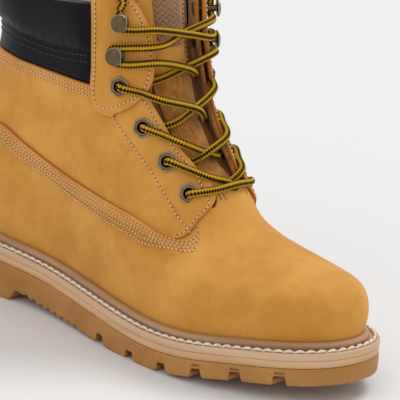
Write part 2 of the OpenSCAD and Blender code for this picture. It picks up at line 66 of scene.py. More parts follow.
# ---- the last: the foot-shaped block that the whole upper is pulled over. A place on it is t, round
# the boot from the front centre line (0) to the back one (-1 by the outer side, 1 by the inner), and
# v, up from the welt (0) to the top line (1). Sizes here and below are in millimetres.
HALF_OUTER = [[-150, 38], [-110, 38.5], [-50, 37.5], [20, 50.5], [70, 54.2], [110, 48], [150, 48]]
HALF_INNER = [[-150, 38], [-110, 37], [-45, 32], [20, 43], [65, 49], [110, 43], [150, 40]]
WELT_TOP = [[-150, 33], [-110, 31], [-60, 27], [0, 22.5], [50, 19], [100, 23.5], [150, 28.5]]
RIDGE = [[0, 140.5, 30], [.06, 143.7, 39], [.12, 143, 49], [.18, 137, 58], [.25, 116, 63],
         [.34, 95, 67.5], [.44, 71, 75], [.54, 53, 92], [.66, 30, 120], [.8, 17, 150], [1, 8, 188],
         [1.1, 5, 206]]
BACK = [[0, -140, 34], [.2, -143, 58], [.4, -138, 88], [.6, -127, 118], [.8, -113, 146],
        [1, -117, 176], [1.1, -119, 191]]
FRONT_FILL = [[0, 4], [.12, 4.4], [.2, 2.2], [.28, 1.1], [.36, .8], [.44, 1.2], [.52, 2.1],
              [.66, 2.45], [.8, 2.63], [1.1, 2.75]]
HEEL_ROUND = [[0, 30], [.5, 42], [1, 48], [1.1, 48]]
SHAFT_HALF = [[0, 33], [.3, 35], [.55, 34], [.75, 37], [1, 41], [1.1, 41.5]]
SOLE_MARGIN = 10
SIDES = ((-1, "outer"), (1, "inner"))


def curve(rows, t, column=1):
    """The smooth line through a column of rows that are keyed by their first number"""
    rows, t = np.asarray(rows, float), np.asarray(t, float)
    keys, values = rows[:, 0], rows[:, column]
    slopes = np.concatenate([[(values[1] - values[0]) / (keys[1] - keys[0])],
                             (values[2:] - values[:-2]) / (keys[2:] - keys[:-2]),
                             [(values[-1] - values[-2]) / (keys[-1] - keys[-2])]])
    i = np.clip(np.searchsorted(keys, t, side="right") - 1, 0, len(keys) - 2)
    h = keys[i + 1] - keys[i]
    w = np.clip((t - keys[i]) / h, 0, 1)
    return ((2 * w ** 3 - 3 * w * w + 1) * values[i] + (w ** 3 - 2 * w * w + w) * h * slopes[i]
            + (3 * w * w - 2 * w ** 3) * values[i + 1] + (w ** 3 - w * w) * h * slopes[i + 1])


def ease(a, b, t):
    """0 before a, 1 after b, and a smooth step between"""
    w = np.clip((np.asarray(t, float) - a) / (b - a), 0, 1)
    return w * w * (3 - 2 * w)


def arch(t, p):
    """A rounded rise from 0 to 1; p is how square its shoulder is"""
    return (1 - (1 - np.clip(t, 0, 1)) ** p) ** (1 / p)


def unit(a):
    return a / np.maximum(np.linalg.norm(a, axis=-1, keepdims=True), 1e-9)


def last_point(t, v):
    """The place on the last's surface at (t, v)"""
    t, v = np.broadcast_arrays(np.asarray(t, float), np.asarray(v, float))
    t = np.where(t > 1, t - 2, np.where(t < -1, t + 2, t))
    front_x, front_z = curve(RIDGE, v, 1), curve(RIDGE, v, 2)
    back_x, back_z = curve(BACK, v, 1), curve(BACK, v, 2)
    g = (1 - np.cos(np.pi * (1 - abs(t)))) / 2
    x = back_x + (front_x - back_x) * g
    sag = curve(WELT_TOP, x) + .3 - (curve(WELT_TOP, -145) * (1 - g) + 30 * g)
    z = back_z + (front_z - back_z) * g + sag * np.maximum(1 - v, 0) ** 3
    fill = curve(FRONT_FILL, v)
    front = fill * (1 - g) + np.maximum(0, 2.6 - 1.3 * fill) * (1 - g) ** 2
    low = np.where(t < 0, curve(HALF_OUTER, x), curve(HALF_INNER, x)) - SOLE_MARGIN + 2 * ease(0, .15, v)
    shaft = ease(.25, .75, v)
    w = low * (1 - shaft) + curve(SHAFT_HALF, v) * shaft
    y = np.sign(t) * w * arch(front, 2.1) * arch((x - back_x) / curve(HEEL_ROUND, v), 2)
    return np.stack([x, y, z], -1)


STEP = .004


def along(t, v):
    return unit(last_point(t + STEP, v) - last_point(t - STEP, v))


def upward(t, v):
    return unit(last_point(t, np.minimum(v + STEP, 1.1)) - last_point(t, np.maximum(v - STEP, 0)))


def outward(t, v):
    t, v = np.broadcast_arrays(np.asarray(t, float), np.asarray(v, float))
    return unit(np.cross(along(t, v), upward(t, v)))


def off_last(t, v, off):
    return last_point(t, v) + np.asarray(off)[..., None] * outward(t, v)


# The sole is wider on its outer side, so the frame's origin, under its middle, lies beside the last's line
CENTRING = 2.65


def in_row(points):
    return (np.asarray(points, float) + (0, CENTRING, 0)) / 1000


def piece(name, points, faces, finish, replaces=(), body="boot", marks=None):
    """A visible piece on its body, the CAD nodes it replaces and its surface marks"""
    mesh = bpy.data.meshes.new(name)
    mesh.from_pydata(in_row(points).tolist(), [], [list(map(int, f)) for f in faces])
    form = bpy.data.objects.new(name, mesh)
    bpy.context.collection.objects.link(form)
    bpy.context.view_layer.objects.active = form
    bpy.ops.object.mode_set(mode="EDIT")
    bpy.ops.mesh.select_all(action="SELECT")
    bpy.ops.mesh.normals_make_consistent(inside=False)
    bpy.ops.object.mode_set(mode="OBJECT")
    mesh.polygons.foreach_set("use_smooth", [True] * len(mesh.polygons))
    for mark, values in (marks or {}).items():
        mesh.attributes.new(mark, "FLOAT", "POINT").data.foreach_set("value", np.ravel(values))
    mesh.materials.append(finish)
    if body:
        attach(form, body)
    if replaces:
        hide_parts(*replaces)
    return form


def distances(path):
    """How far along a path each of its points is"""
    return np.concatenate([[0], np.cumsum(np.linalg.norm(np.diff(path, axis=0), axis=1))])


def at_distances(where, far, values):
    return np.stack([np.interp(where, far, values[:, c]) for c in range(3)], -1)


def ring_faces(rings, around, wrapped=False, capped=False):
    """Faces between rings of points that follow one another, with or without the first and last as ends"""
    i, j = np.meshgrid(np.arange(rings - (not wrapped)), np.arange(around), indexing="ij")
    a, b = i * around + j, i * around + (j + 1) % around
    c, d = ((i + 1) % rings) * around + j, ((i + 1) % rings) * around + (j + 1) % around
    faces = np.stack([a, b, d, c], -1).reshape(-1, 4).tolist()
    ends = [list(range(around)), list(range((rings - 1) * around, rings * around))]
    return faces + ends if capped else faces


def sheet_faces(at):
    """Faces of an open grid of point numbers"""
    return np.stack([at[:-1, :-1], at[1:, :-1], at[1:, 1:], at[:-1, 1:]], -1).reshape(-1, 4)


# ---- the free lace ends: round woven polyester cord, out of the top hooks, over the top edge and down
# inside the shaft, each closed by a dark acetate tip
class Shade:
    """A socket of a finish, so that sums on it read as sums, and the maker of every other node."""

    def __init__(self, tree, socket=None):
        self.tree, self.socket = tree, socket

    def fill(self, node, inputs):
        for key, value in inputs.items():
            socket = next(s for s in node.inputs if key in (s.identifier, s.name))
            if isinstance(value, Shade):
                self.tree.links.new(value.socket, socket)
            else:
                socket.default_value = (*value, 1) if socket.type == "RGBA" else value

    def node(self, kind, settings, inputs, output=None):
        made = self.tree.nodes.new(kind)
        for key, value in settings.items():
            setattr(made, key, value)
        self.fill(made, inputs)
        found = [s for s in made.outputs if output in (None, s.identifier, s.name)]
        return Shade(self.tree, found[0])

    def sum(self, operation, *terms):
        made = self.tree.nodes.new("ShaderNodeMath")
        made.operation = operation
        for socket, term in zip(made.inputs, terms):
            if isinstance(term, Shade):
                self.tree.links.new(term.socket, socket)
            else:
                socket.default_value = term
        return Shade(self.tree, made.outputs[0])

    def __add__(self, other):
        return self.sum("ADD", self, other)

    def __radd__(self, other):
        return self.sum("ADD", other, self)

    def __sub__(self, other):
        return self.sum("SUBTRACT", self, other)

    def __rsub__(self, other):
        return self.sum("SUBTRACT", other, self)

    def __mul__(self, other):
        return self.sum("MULTIPLY", self, other)

    def __rmul__(self, other):
        return self.sum("MULTIPLY", other, self)

    def between(self, low, high):
        return self.node("ShaderNodeMapRange", {"interpolation_type": "SMOOTHSTEP"},
                         {"Value": self, "From Min": low, "From Max": high, "To Min": 0.0, "To Max": 1.0})

    def mark(self, name):
        return self.node("ShaderNodeAttribute", {"attribute_name": name}, {}, "Fac")

    def place(self, **stretch):
        spot = self.node("ShaderNodeTexCoord", {}, {}, "Object")
        return self.node("ShaderNodeMapping", {}, {"Vector": spot, **{
            k.capitalize(): v for k, v in stretch.items()}}) if stretch else spot

    def grain(self, size, detail=3.0, roughness=.55, where=None):
        return self.node("ShaderNodeTexNoise", {}, {
            "Vector": where or self.place(), "Scale": 1000 / size, "Detail": detail,
            "Roughness": roughness}, "Fac")

    def mixed(self, share, a, b):
        return self.node("ShaderNodeMix", {"data_type": "RGBA"},
                         {"Factor_Float": share, "A_Color": a, "B_Color": b}, "Result_Color")

    def bump(self, height, depth):
        return self.node("ShaderNodeBump", {}, {"Height": height, "Distance": depth / 1000, "Strength": 1.0})


def srgb(red, green, blue):
    return tuple((c / 255) ** 2.2 for c in (red, green, blue))


def finish(name, **constants):
    made = bpy.data.materials.new(name)
    made.use_nodes = True
    skin = made.node_tree.nodes["Principled BSDF"]
    shade = Shade(made.node_tree)
    shade.fill(skin, {k.replace("_", " "): v for k, v in constants.items()})
    return made, shade, skin


def smooth_line(points, spacing):
    """A smooth line through points, evenly stepped"""
    p = np.asarray(points, float)
    p = np.vstack([2 * p[0] - p[1], p, 2 * p[-1] - p[-2]])
    knots = np.concatenate([[0], np.cumsum(np.sqrt(np.linalg.norm(np.diff(p, axis=0), axis=1)))])
    run = []
    for i in range(1, len(p) - 2):
        k0, k1, k2, k3 = knots[i - 1:i + 3]
        k = np.linspace(k1, k2, 24, endpoint=False)[:, None]
        a = [(k1 - k) / (k1 - k0) * p[i - 1] + (k - k0) / (k1 - k0) * p[i],
             (k2 - k) / (k2 - k1) * p[i] + (k - k1) / (k2 - k1) * p[i + 1],
             (k3 - k) / (k3 - k2) * p[i + 1] + (k - k2) / (k3 - k2) * p[i + 2]]
        b = [(k2 - k) / (k2 - k0) * a[0] + (k - k0) / (k2 - k0) * a[1],
             (k3 - k) / (k3 - k1) * a[1] + (k - k1) / (k3 - k1) * a[2]]
        run.append((k2 - k) / (k2 - k1) * b[0] + (k - k1) / (k2 - k1) * b[1])
    run = np.vstack(run + [p[-2:-1]])
    return evenly(run, spacing)


def evenly(run, spacing):
    far = distances(run)
    return at_distances(np.linspace(0, far[-1], max(2, int(round(far[-1] / spacing)) + 1)), far, run)


def frames_along(path):
    """Two directions across a path, carried on without twisting"""
    run = unit(np.gradient(path, axis=0))
    side = np.zeros_like(path)
    start = np.array([1., 0, 0]) if abs(run[0][2]) > .8 else np.array([0, 0, 1.])
    for i, d in enumerate(run):
        start = unit(start - (start @ d) * d)
        side[i] = start
    return side, np.cross(run, side)


CORD_SIDES = 18


def cord_mesh(path, radius):
    """A round cord along a path, with how far along and how far round each point is"""
    side, other = frames_along(path)
    radius = np.broadcast_to(np.asarray(radius, float), len(path))
    angle = 2 * np.pi * np.arange(CORD_SIDES) / CORD_SIDES
    rings = path[:, None] + radius[:, None, None] * (
        np.cos(angle)[None, :, None] * side[:, None] + np.sin(angle)[None, :, None] * other[:, None])
    marks = {"far": np.repeat(distances(path), CORD_SIDES), "round": np.tile(np.cos(angle), len(path))}
    return rings.reshape(-1, 3), ring_faces(len(path), CORD_SIDES, capped=True), marks


LACE_D = 4.1
TOOTH, STRAND = .72, .42
lace_weave, shade, skin = finish("lace_weave", Roughness=.85, Specular_IOR_Level=.15)
far, ring = shade.mark("far"), shade.mark("round")
tooth = shade.sum("PINGPONG", far, TOOTH) * (1 / TOOTH) - .5
squared = ring * ring
stripe = squared * (squared * 8 - 8) + 1
dark = (stripe + tooth * 1.75 + .12).between(-.12, .12)
strand = shade.sum("PINGPONG", far + ring * .8, STRAND) * (1 / STRAND)
colour = shade.mixed(dark, srgb(222, 174, 36), srgb(44, 22, 8))
colour = shade.mixed(shade.grain(2.5) * .3, colour, srgb(104, 74, 28))
shade.fill(skin, {"Base Color": colour, "Normal": shade.bump(strand + shade.grain(.3) * .5, .28)})

LACE_OVER, LACE_UNDER, HOOK_LACE, STAY_CLEAR = 3.4, -7.3, 5.0, 4.3
EYELETS = [[-.178, .514], [-.203, .578], [-.235, .642], [-.268, .736]]
HOOKS = [[-.255, .820], [-.225, .912]]
EYELET_SEAT = [0, 0, 0, 1.8]
TUCK, BEND_ACROSS, BEND_UP = 4.6, 1.2, 3.6
LACE_EXIT = [-.222, .948]


def mirrored(t, side):
    return -side * t


def spot(t, v, off):
    return off_last(np.array(t, float), np.array(v, float), np.array(off, float))


def hook_points(side, k):
    t, v = mirrored(HOOKS[k][0], side), HOOKS[k][1]
    c = spot(t, v, HOOK_LACE)
    a, u = -side * along(t, v), upward(t, v)
    return [c + TUCK * a - 4.4 * u, c - BEND_ACROSS * a - BEND_UP * u, c - 3.3 * a,
            c - BEND_ACROSS * a + BEND_UP * u, c + TUCK * a + 4.4 * u]


def lace_exit(side):
    return spot(mirrored(LACE_EXIT[0], side), LACE_EXIT[1], HOOK_LACE)


END_ROUTE = np.array([[-14, -39, 191], [-22, -35, 197], [-30, -29, 193], [-33, -25, 180], [-34, -22, 160],
                      [-34, -20, 140], [-35, -18, 118], [-36, -16, 96]])
tip_plastic, shade, skin = finish("tip_plastic", Roughness=.35, Coat_Weight=.3)
shade.fill(skin, {"Base Color": shade.mixed(shade.grain(3), srgb(30, 22, 16), srgb(52, 40, 28)),
                  "Normal": shade.bump(shade.grain(.5), .05)})
for side, word in SIDES:
    leaving = lace_exit(side)
    route = np.vstack([leaving, leaving + 5 * unit(leaving - hook_points(side, 1)[3]),
                       END_ROUTE * (1, -side, 1)])
    path = smooth_line(route, 1)
    points, faces, marks = cord_mesh(path, LACE_D / 2)
    end = piece(f"free_lace_{word}", points, faces, lace_weave, [f"lace_end_{word}"],
                marks=marks)
    length = np.linalg.norm(np.diff(path, axis=0), axis=1).sum() / 1000
    down = unit(route[-1] - route[-2])
    tip_path = route[-1] + down * np.array([-.5, -.3, .5, 6, 12, 18, 19.6, 20])[:, None]
    points, faces, marks = cord_mesh(tip_path, [1.7, 2.25, 1.8, 1.75, 1.75, 1.75, 1.6, 1.2])
    tip = piece(f"lace_tip_{word}", points, faces, tip_plastic, [f"aglet_{word}"])
    in_row(path[0]).tolist()
    in_row(path).tolist()

# ---- the outsole: one gum rubber moulding with a flat heel, a ribbed waist and deep lugs
TREAD = [[-72, 7], [-60, 5], [-45, 3], [0, 1.2], [50, 0], [100, 6.5], [150, 11]]
HALF_LENGTH = 150
SOLE_STEPS = 600


def sole_line(side, inset):
    run = HALF_LENGTH - inset
    x = -run * np.cos(np.pi * np.arange(SOLE_STEPS + 1) / SOLE_STEPS)
    half = curve(HALF_OUTER if side < 0 else HALF_INNER, x)
    return x, side * (half - inset) * arch((x + run) / (38 - inset), 2) * arch((run - x) / (75 - inset), 2.2)


def bar(x, middle, width, slope=1.1):
    """1 inside a moulded groove, falling to 0 over its sloped sides"""
    return np.clip((width / 2 + slope / 2 - abs(x - middle)) / slope, 0, 1)


GROOVES, HEEL_GROOVES = [8, 34, 59, 82, 103, 125], [-132, -117, -102]
GROOVE_DEPTH, GROOVE_WIDTH = 4.5, 6
RIB_COUNT, RIB_START, RIB_PITCH = 8, -62, 6.5


def tread_flat(x):
    """The height of the lugs' faces: 0 under the heel, raised in the waist, curving up to the toe"""
    return np.where(x < -72, 7., curve(TREAD, x)) * ease(-77, -70, x)


def tread_height(x, y):
    """The height of the sole's underside, with its grooves and ribs"""
    depth = np.zeros_like(x)
    rim = np.where(y < 0, curve(HALF_OUTER, x), curve(HALF_INNER, x)) - abs(y)
    edge = 1 - ease(21, 23, rim)
    for g in GROOVES:
        depth = np.maximum(depth, GROOVE_DEPTH * bar(x, g, GROOVE_WIDTH) * edge)
        depth = np.maximum(depth, 4.2 * bar(x, g + 11, 5.2) * (1 - ease(14, 16, abs(y))))
    for i in range(RIB_COUNT):
        depth = np.maximum(depth, 1.5 * bar(x, RIB_START + RIB_PITCH * i, 2.6, 1.4))
    for g in HEEL_GROOVES:
        depth = np.maximum(depth, GROOVE_DEPTH * bar(x, g, GROOVE_WIDTH) * (1 - ease(16, 18, rim)))
    return tread_flat(x) + depth


def sole_body(name, rows, finish_, replaces):
    """A moulding whose cross sections run round from rows of (side, inset, height as a function of x)"""
    sections = []
    for side, share, inset, height in rows:
        x, y = sole_line(side, inset)
        y = y + (sole_line(-side, inset)[1] - y) * share
        sections.append(np.stack([x, y, height(x, y)], -1))
    grid = np.stack(sections, 1)
    x, y, z = grid[..., 0], grid[..., 1], grid[..., 2]
    flat = tread_flat(x)
    # painted shade: how deep a point sits in a lug groove, which the gum finish paints dark brown
    gap = (tread_height(x, y) - flat) / GROOVE_DEPTH * (1 - ease(4, 6.5, z - flat))
    return piece(name, grid.reshape(-1, 3), ring_faces(*grid.shape[:2]), finish_, replaces,
                 marks={"under": curve(WELT_TOP, x) - z, "gap": gap})


def sole_top(depth):
    return lambda x, y: curve(WELT_TOP, x) - depth


def over_tread(height):
    return lambda x, y: tread_height(x, y) + height


def both_sides(rows):
    """The same rows down the outer side and, in turn, up the inner one"""
    return [(-1, 0, *r) for r in rows] + [(1, 0, *r) for r in rows[::-1]]


gum, shade, skin = finish("gum_rubber", Roughness=.5, Specular_IOR_Level=.25)
gap, cloud, speck = shade.mark("gap"), shade.grain(26, 3), shade.grain(.9, 2)
tone = shade.mixed(cloud.between(.35, .65), srgb(172, 120, 64), srgb(184, 132, 74))
tone = shade.mixed(speck.between(.52, .75) * .35, tone, srgb(150, 90, 42))
# painted shade: the lug grooves are painted dark brown, standing in for the shade inside them
tone = shade.mixed(gap.between(.35, .9) * .8, tone, srgb(70, 40, 22))
scuff = shade.grain(4, 4, where=shade.place(scale=(1, 1, 4.)))
shade.fill(skin, {"Base Color": tone, "Roughness": .4 + .2 * scuff,
                  "Normal": shade.bump(speck + scuff, .09)})
wall = both_sides([(4, sole_top(8)), (1.2, sole_top(8)), (.35, sole_top(8.2)), (.1, sole_top(8.8)),
                   (0, sole_top(11)), (.1, over_tread(3)), (.15, over_tread(1)), (.4, over_tread(.25))])
bottom = [(-1, share, .9, tread_height) for share in np.linspace(0, 1, 45)]
sole_body("outsole_gum", wall[:8] + bottom + wall[8:], gum, ["outsole"])

# ---- the midsole: beige rubber cemented on the outsole, with fine ribs round its wall and a band that
# is browner towards its foot
RIB_SPACING = 1.15


def beige_rubber(name, light, dark, ribs):
    made, shade, skin = finish(name, Roughness=.62, Specular_IOR_Level=.3)
    under, streak = shade.mark("under"), shade.grain(9, 4, where=shade.place(scale=(.12, .12, 2.4)))
    tone = shade.mixed(streak.between(.3, .7), dark, light)
    height = shade.grain(.8, 2) * .4
    if ribs:
        rib = shade.sum("SINE", under * (2 * math.pi / RIB_SPACING)) * .5 + .5
        height = height + rib * under.between(4.6, 5.4) * (1 - under.between(7, 7.4)) * .5
        tone = shade.mixed(rib * .12, tone, srgb(150, 112, 76))
        tone = shade.mixed(under.between(5.6, 8.2) * .45, tone, srgb(190, 138, 84))
    shade.fill(skin, {"Base Color": tone, "Roughness": .55 + .2 * streak, "Normal": shade.bump(height, .16)})
    return made


MIDSOLE = [(6, 4), (1.6, 4), (.5, 4.05), (.25, 4.3), (.2, 5), (.2, 6.4), (.3, 7.4), (.5, 7.8), (1.4, 8),
           (6, 8)]
sole_body("midsole_beige", both_sides([(inset, sole_top(depth)) for inset, depth in MIDSOLE]),
          beige_rubber("midsole_rubber", srgb(220, 182, 144), srgb(204, 164, 124), True),
          ["midsole"])

# ---- the welt: a leather-look rubber strip sewn to the upper's edge, with a round storm rib against
# the upper and one row of thick white thread through it
def ring_body(name, rings, finish_, replaces):
    """A strip that runs right round the boot, from the rings along its edges"""
    grid = np.stack(rings, 1)
    return piece(name, grid.reshape(-1, 3), ring_faces(*grid.shape[:2], wrapped=True), finish_,
                 replaces)


def sole_ring(inset, depth):
    outer, inner = sole_line(-1, inset), sole_line(1, inset)
    ring_ = np.vstack([np.stack(outer, -1), np.stack(inner, -1)[-2:0:-1]])
    return np.column_stack([ring_, curve(WELT_TOP, ring_[:, 0]) - depth])


WELT = [(15, 0), (4.6, 0), (4, .1), (3.6, .55), (2, .6), (1.6, .2), (1.3, .1), (.9, .15), (.45, .4),
        (.1, .9), (0, 1.8), (.05, 3.3), (.3, 3.85), (1.5, 4), (15, 4)]
welt_beige = beige_rubber("welt_rubber", srgb(216, 180, 144), srgb(202, 164, 128), False)
ring_body("welt_strip", [sole_ring(inset, depth) for inset, depth in WELT], welt_beige, ["welt"])
RIB_OFF, RIB_RISE, RIB_WIDE, RIB_TALL = 2.6, 1.75, 2.3, 2.1
rib_turns = np.linspace(-1, 1, 520, endpoint=False)
rib_out = unit(outward(rib_turns, 0 * rib_turns) * (1, 1, 0))
rib_centre = off_last(rib_turns, 0 * rib_turns, RIB_OFF)
rib_centre[:, 2] = curve(WELT_TOP, rib_centre[:, 0]) + RIB_RISE
rib_up = np.array([0, 0, 1])
rib_rings = [rib_centre + RIB_WIDE * math.cos(angle) * rib_out + RIB_TALL * math.sin(angle) * rib_up
             for angle in np.linspace(0, 2 * math.pi, 14, endpoint=False)]
rib_beige = beige_rubber("rib_rubber", srgb(184, 148, 114), srgb(168, 130, 96), False)
ring_body("storm_rib", rib_rings, rib_beige, ["rand"])


THREAD_THICK = np.array([.35, .8, 1, 1.04, 1, .8, .35])
THREAD_SIDES = 8


def thread_run(path, normals, pitch, length, radius, slant=0., sink=.3):
    """Stitches along a path: short round threads that arch out of the leather and dive back into it"""
    far = distances(path)
    count = max(1, int(far[-1] / pitch))
    centres = (np.arange(count) + .5) * far[-1] / count
    share = np.linspace(-1, 1, len(THREAD_THICK))
    where = centres[:, None] + share[None] * length / 2
    middle = at_distances(where, far, path)
    normal = unit(at_distances(where, far, normals))
    run = unit(np.gradient(middle, axis=1))
    across = np.cross(normal, run)
    middle = middle + normal * (radius * (1.1 * (1 - share ** 2) - sink))[None, :, None]
    middle = middle + across * (share * math.tan(slant) * length / 2)[None, :, None]
    thick = radius * THREAD_THICK
    angle = 2 * np.pi * np.arange(THREAD_SIDES) / THREAD_SIDES
    cos, sin = np.cos(angle)[None, None, :, None], np.sin(angle)[None, None, :, None]
    rings = middle[:, :, None] + thick[None, :, None, None] * (cos * across[:, :, None]
                                                               + sin * normal[:, :, None])
    one = ring_faces(len(THREAD_THICK), THREAD_SIDES, capped=True)
    return rings.reshape(-1, 3), repeated(one, count, rings[0].size // 3)


def repeated(one, count, step):
    """The faces of one form, again for each of a row of such forms"""
    return [[s * step + q for q in face] for s in range(count) for face in one]


def gathered(parts):
    """Several point and face lists as one"""
    points, faces, start = [], [], 0
    for p, f in parts:
        points.append(p)
        faces += [[start + q for q in face] for face in f]
        start += len(p)
    return np.vstack(points), faces


def thread_finish(name, light, dark, size=.5):
    made, shade, skin = finish(name, Roughness=.7, Sheen_Weight=.2)
    ply = shade.grain(size, 2)
    shade.fill(skin, {"Base Color": shade.mixed(ply.between(.35, .65), dark, light),
                      "Normal": shade.bump(ply, .15)})
    return made


welt_thread = thread_finish("welt_thread", srgb(246, 240, 230), srgb(212, 200, 184), .8)
seam = sole_ring(2.8, .1)
seam = evenly(np.vstack([seam, seam[:1]]), 1)
points, faces = thread_run(seam, np.tile([0., 0, 1], (len(seam), 1)), 5.5, 5.6, .82, .12, .1)
piece("welt_stitches", points, faces, welt_thread)

# ---- the vamp and quarters: honey nubuck, buffed on its grain side, lasted over the toe cap and counter.
# The vamp's top edge lies over the quarters and is held by four rows of thread; at the front the
# quarters' corners lie over the vamp
EDGE_STEPS = np.array([0, .12, .3, .6, 1., 1.5, 2., 2.4, 2.8, 3.2, 3.8, 4.8, 6.2])


def spaced(length, step):
    """Shares of a length, close together at both ends so that a cut edge comes out round"""
    ends = EDGE_STEPS[EDGE_STEPS < length * .3]
    count = max(2, int((length - 2 * ends[-1]) / step))
    middle = np.linspace(ends[-1], length - ends[-1], count + 1)[1:-1]
    return np.concatenate([ends, middle, length - ends[::-1]]) / length


def edge_distances(points):
    """How far each point of a grid is from its start, end, low and high edge"""
    def run(axis):
        step = np.linalg.norm(np.diff(points, axis=axis), axis=-1)
        total = np.cumsum(step, axis=axis)
        pad = np.zeros_like(np.take(total, [0], axis=axis))
        total = np.concatenate([pad, total], axis=axis)
        return total, np.take(total, [-1], axis=axis) - total
    return (*run(0), *run(1))


def rolled(distance, radius):
    """How far a rounded edge has dropped at a distance in from it"""
    inside = np.clip(radius - distance, 0, radius)
    return radius - np.sqrt(np.maximum(radius ** 2 - inside ** 2, 0))


def across(rows, step_t, step_v, length, height):
    """A grid on a panel given as rows of t, low v, high v"""
    s, r = spaced(length, step_t)[:, None], spaced(height, step_v)[None]
    t = rows[0][0] + (rows[-1][0] - rows[0][0]) * s + 0 * r
    low, high = curve(rows, t, 1), curve(rows, t, 2)
    return t, low + (high - low) * r


def up(rows, step_t, step_v, length, height):
    """A grid on a panel given as rows of v, first t, last t"""
    s, r = spaced(length, step_t)[:, None], spaced(height, step_v)[None]
    v = rows[0][0] + (rows[-1][0] - rows[0][0]) * r + 0 * s
    first, last_ = curve(rows, v, 1), curve(rows, v, 2)
    return first + (last_ - first) * s, v


def slab(outer, inner):
    """A closed sheet between an outer and an inner grid of points"""
    m, n = outer.shape[:2]
    at = np.arange(m * n).reshape(m, n)
    face = sheet_faces(at)
    rim = np.concatenate([at[:, 0], at[-1, 1:], at[-2::-1, -1], at[0, -2:0:-1]])
    wall = np.stack([rim, np.roll(rim, -1), np.roll(rim, -1) + m * n, rim + m * n], -1)
    faces = np.vstack([face, face[:, ::-1] + m * n, wall])
    return np.vstack([outer.reshape(-1, 3), inner.reshape(-1, 3)]), faces


SEWN_IN, DENT, DENT_WIDE = 2.6, .22, .7


def leather(name, t, v, side, finish_, replaces, base, thick=1.8, lift=None, roll=.6, rows=(),
            body="boot", belly=None):
    """A cut panel on the last. Base is its flesh side's height, rows the edges that are sewn down"""
    t = mirrored(t, side)
    ground = last_point(t, v)
    gaps = edge_distances(ground)
    nearest = np.minimum.reduce(gaps)
    height = base + (lift(t, v, gaps) if lift else 0)
    drop = rolled(nearest, roll)
    for row in rows:
        drop = drop + DENT * np.exp(-((gaps[row] - SEWN_IN) / DENT_WIDE) ** 2)
    swell = belly(t, v, gaps) if belly else 0
    points, faces = slab(off_last(t, v, height + thick + swell - drop), off_last(t, v, height + 0 * t))
    return piece(name, points, faces, finish_, replaces, body,
                 marks={"edge": np.concatenate([nearest.ravel(), 0 * nearest.ravel()])})


def nubuck(name):
    light, dark, cut = srgb(218, 158, 74), srgb(198, 136, 56), srgb(186, 114, 50)
    made, shade, skin = finish(name, Roughness=.86, Sheen_Weight=.14, Sheen_Roughness=.6)
    skin.inputs["Sheen Tint"].default_value = (1, .78, .5, 1)
    skin.inputs["Specular IOR Level"].default_value = .25
    cloud, patch = shade.grain(34, 4, .6), shade.grain(9, 3)
    nap, pore = shade.grain(.55, 2), shade.grain(1.6, 4, .7)
    tone = shade.mixed(cloud.between(.3, .7), dark, light)
    tone = shade.mixed(patch.between(.5, .8) * .18, tone, srgb(178, 114, 44))
    tone = shade.mixed(nap.between(.45, .75) * .16, tone, srgb(232, 174, 92))
    tone = shade.mixed(pore.between(.62, .78) * .25, tone, srgb(158, 98, 38))
    edge = shade.mark("edge")
    tone = shade.mixed(1 - edge.between(.25, .75), tone, cut)
    shade.fill(skin, {"Base Color": tone, "Roughness": .78 + .16 * patch,
                      "Normal": shade.bump(nap * .5 + pore + patch * 1.6, .16)})
    return made


honey = nubuck("honey_nubuck")
# Rows of distance round the boot from the heel (0) to the front (1), and height
SEAM = [[0, .505], [.31, .495], [.38, .458], [.46, .418], [.55, .39], [.62, .357], [.66, .312], [.69, .318],
        [.74, .375], [.795, .432], [.88, .49], [.92, .512], [1, .50]]
QUARTER_TOP = [[0, .76], [.31, .748], [.38, .739], [.5, .729], [.64, .722], [.79, .719], [.815, .71],
               [.833, .67], [.852, .624], [.887, .578], [.917, .525]]
PLY = 1.75
FLESH = -1.8
BACK_END = .997


def vamp_lift(t, v, gaps):
    u = 1 - abs(t)
    return PLY * (1 - ease(11, 16, gaps[3])) * (1 - ease(.655, .69, u))


vamp_t = np.linspace(-BACK_END, BACK_END, 561)
vamp_high = curve(SEAM, 1 - abs(vamp_t)) + .07 * ease(.66, .70, 1 - abs(vamp_t)) * (
    1 - ease(.82, .88, 1 - abs(vamp_t))) + .026 * ease(.895, .93, 1 - abs(vamp_t))
vamp_rows = np.column_stack([vamp_t, 0 * vamp_t, vamp_high])
t, v = across(vamp_rows, 1.5, 1.7, 640, 78)
leather("vamp_nubuck", t, v, -1, honey, ["vamp"], FLESH, lift=vamp_lift)


def quarter_lift(t, v, gaps):
    return PLY * (1 - ease(9, 15, gaps[2])) * ease(.665, .70, 1 - abs(t))


quarter_t = np.linspace(-BACK_END, -.085, 521)
quarter_u = 1 + quarter_t
corner_round = .014 * (1 - np.sqrt(1 - np.clip((quarter_u - .885) / .03, 0, 1) ** 2))
quarter_rows = np.column_stack([
    quarter_t, curve(SEAM, quarter_u) + .004 + corner_round - .075 * (1 - ease(.625, .66, quarter_u)),
    curve(QUARTER_TOP, quarter_u)])
for side, word in SIDES:
    t, v = across(quarter_rows, 1.5, 1.6, 300, 52)
    leather(f"quarter_{word}_nubuck", t, v, side, honey, [f"quarter_{word}"], FLESH,
            lift=quarter_lift)


# ---- the backstay: a nubuck strip over the heel seam, two rows of thread
def backstay_lift(v):
    """How far the strip climbs over the seam of vamp and quarters"""
    return PLY * ease(.36, .42, v) * (1 - ease(.50, .54, v))


t, v = up([[.02, .95, 1.05], [.5, .945, 1.055], [.965, .945, 1.055]], 1.5, 1.6, 21, 142)
leather("backstay_nubuck", t, v, -1, honey, ["backstay"], .1, rows=(0, 1),
        lift=lambda t, v, gaps: backstay_lift(v))

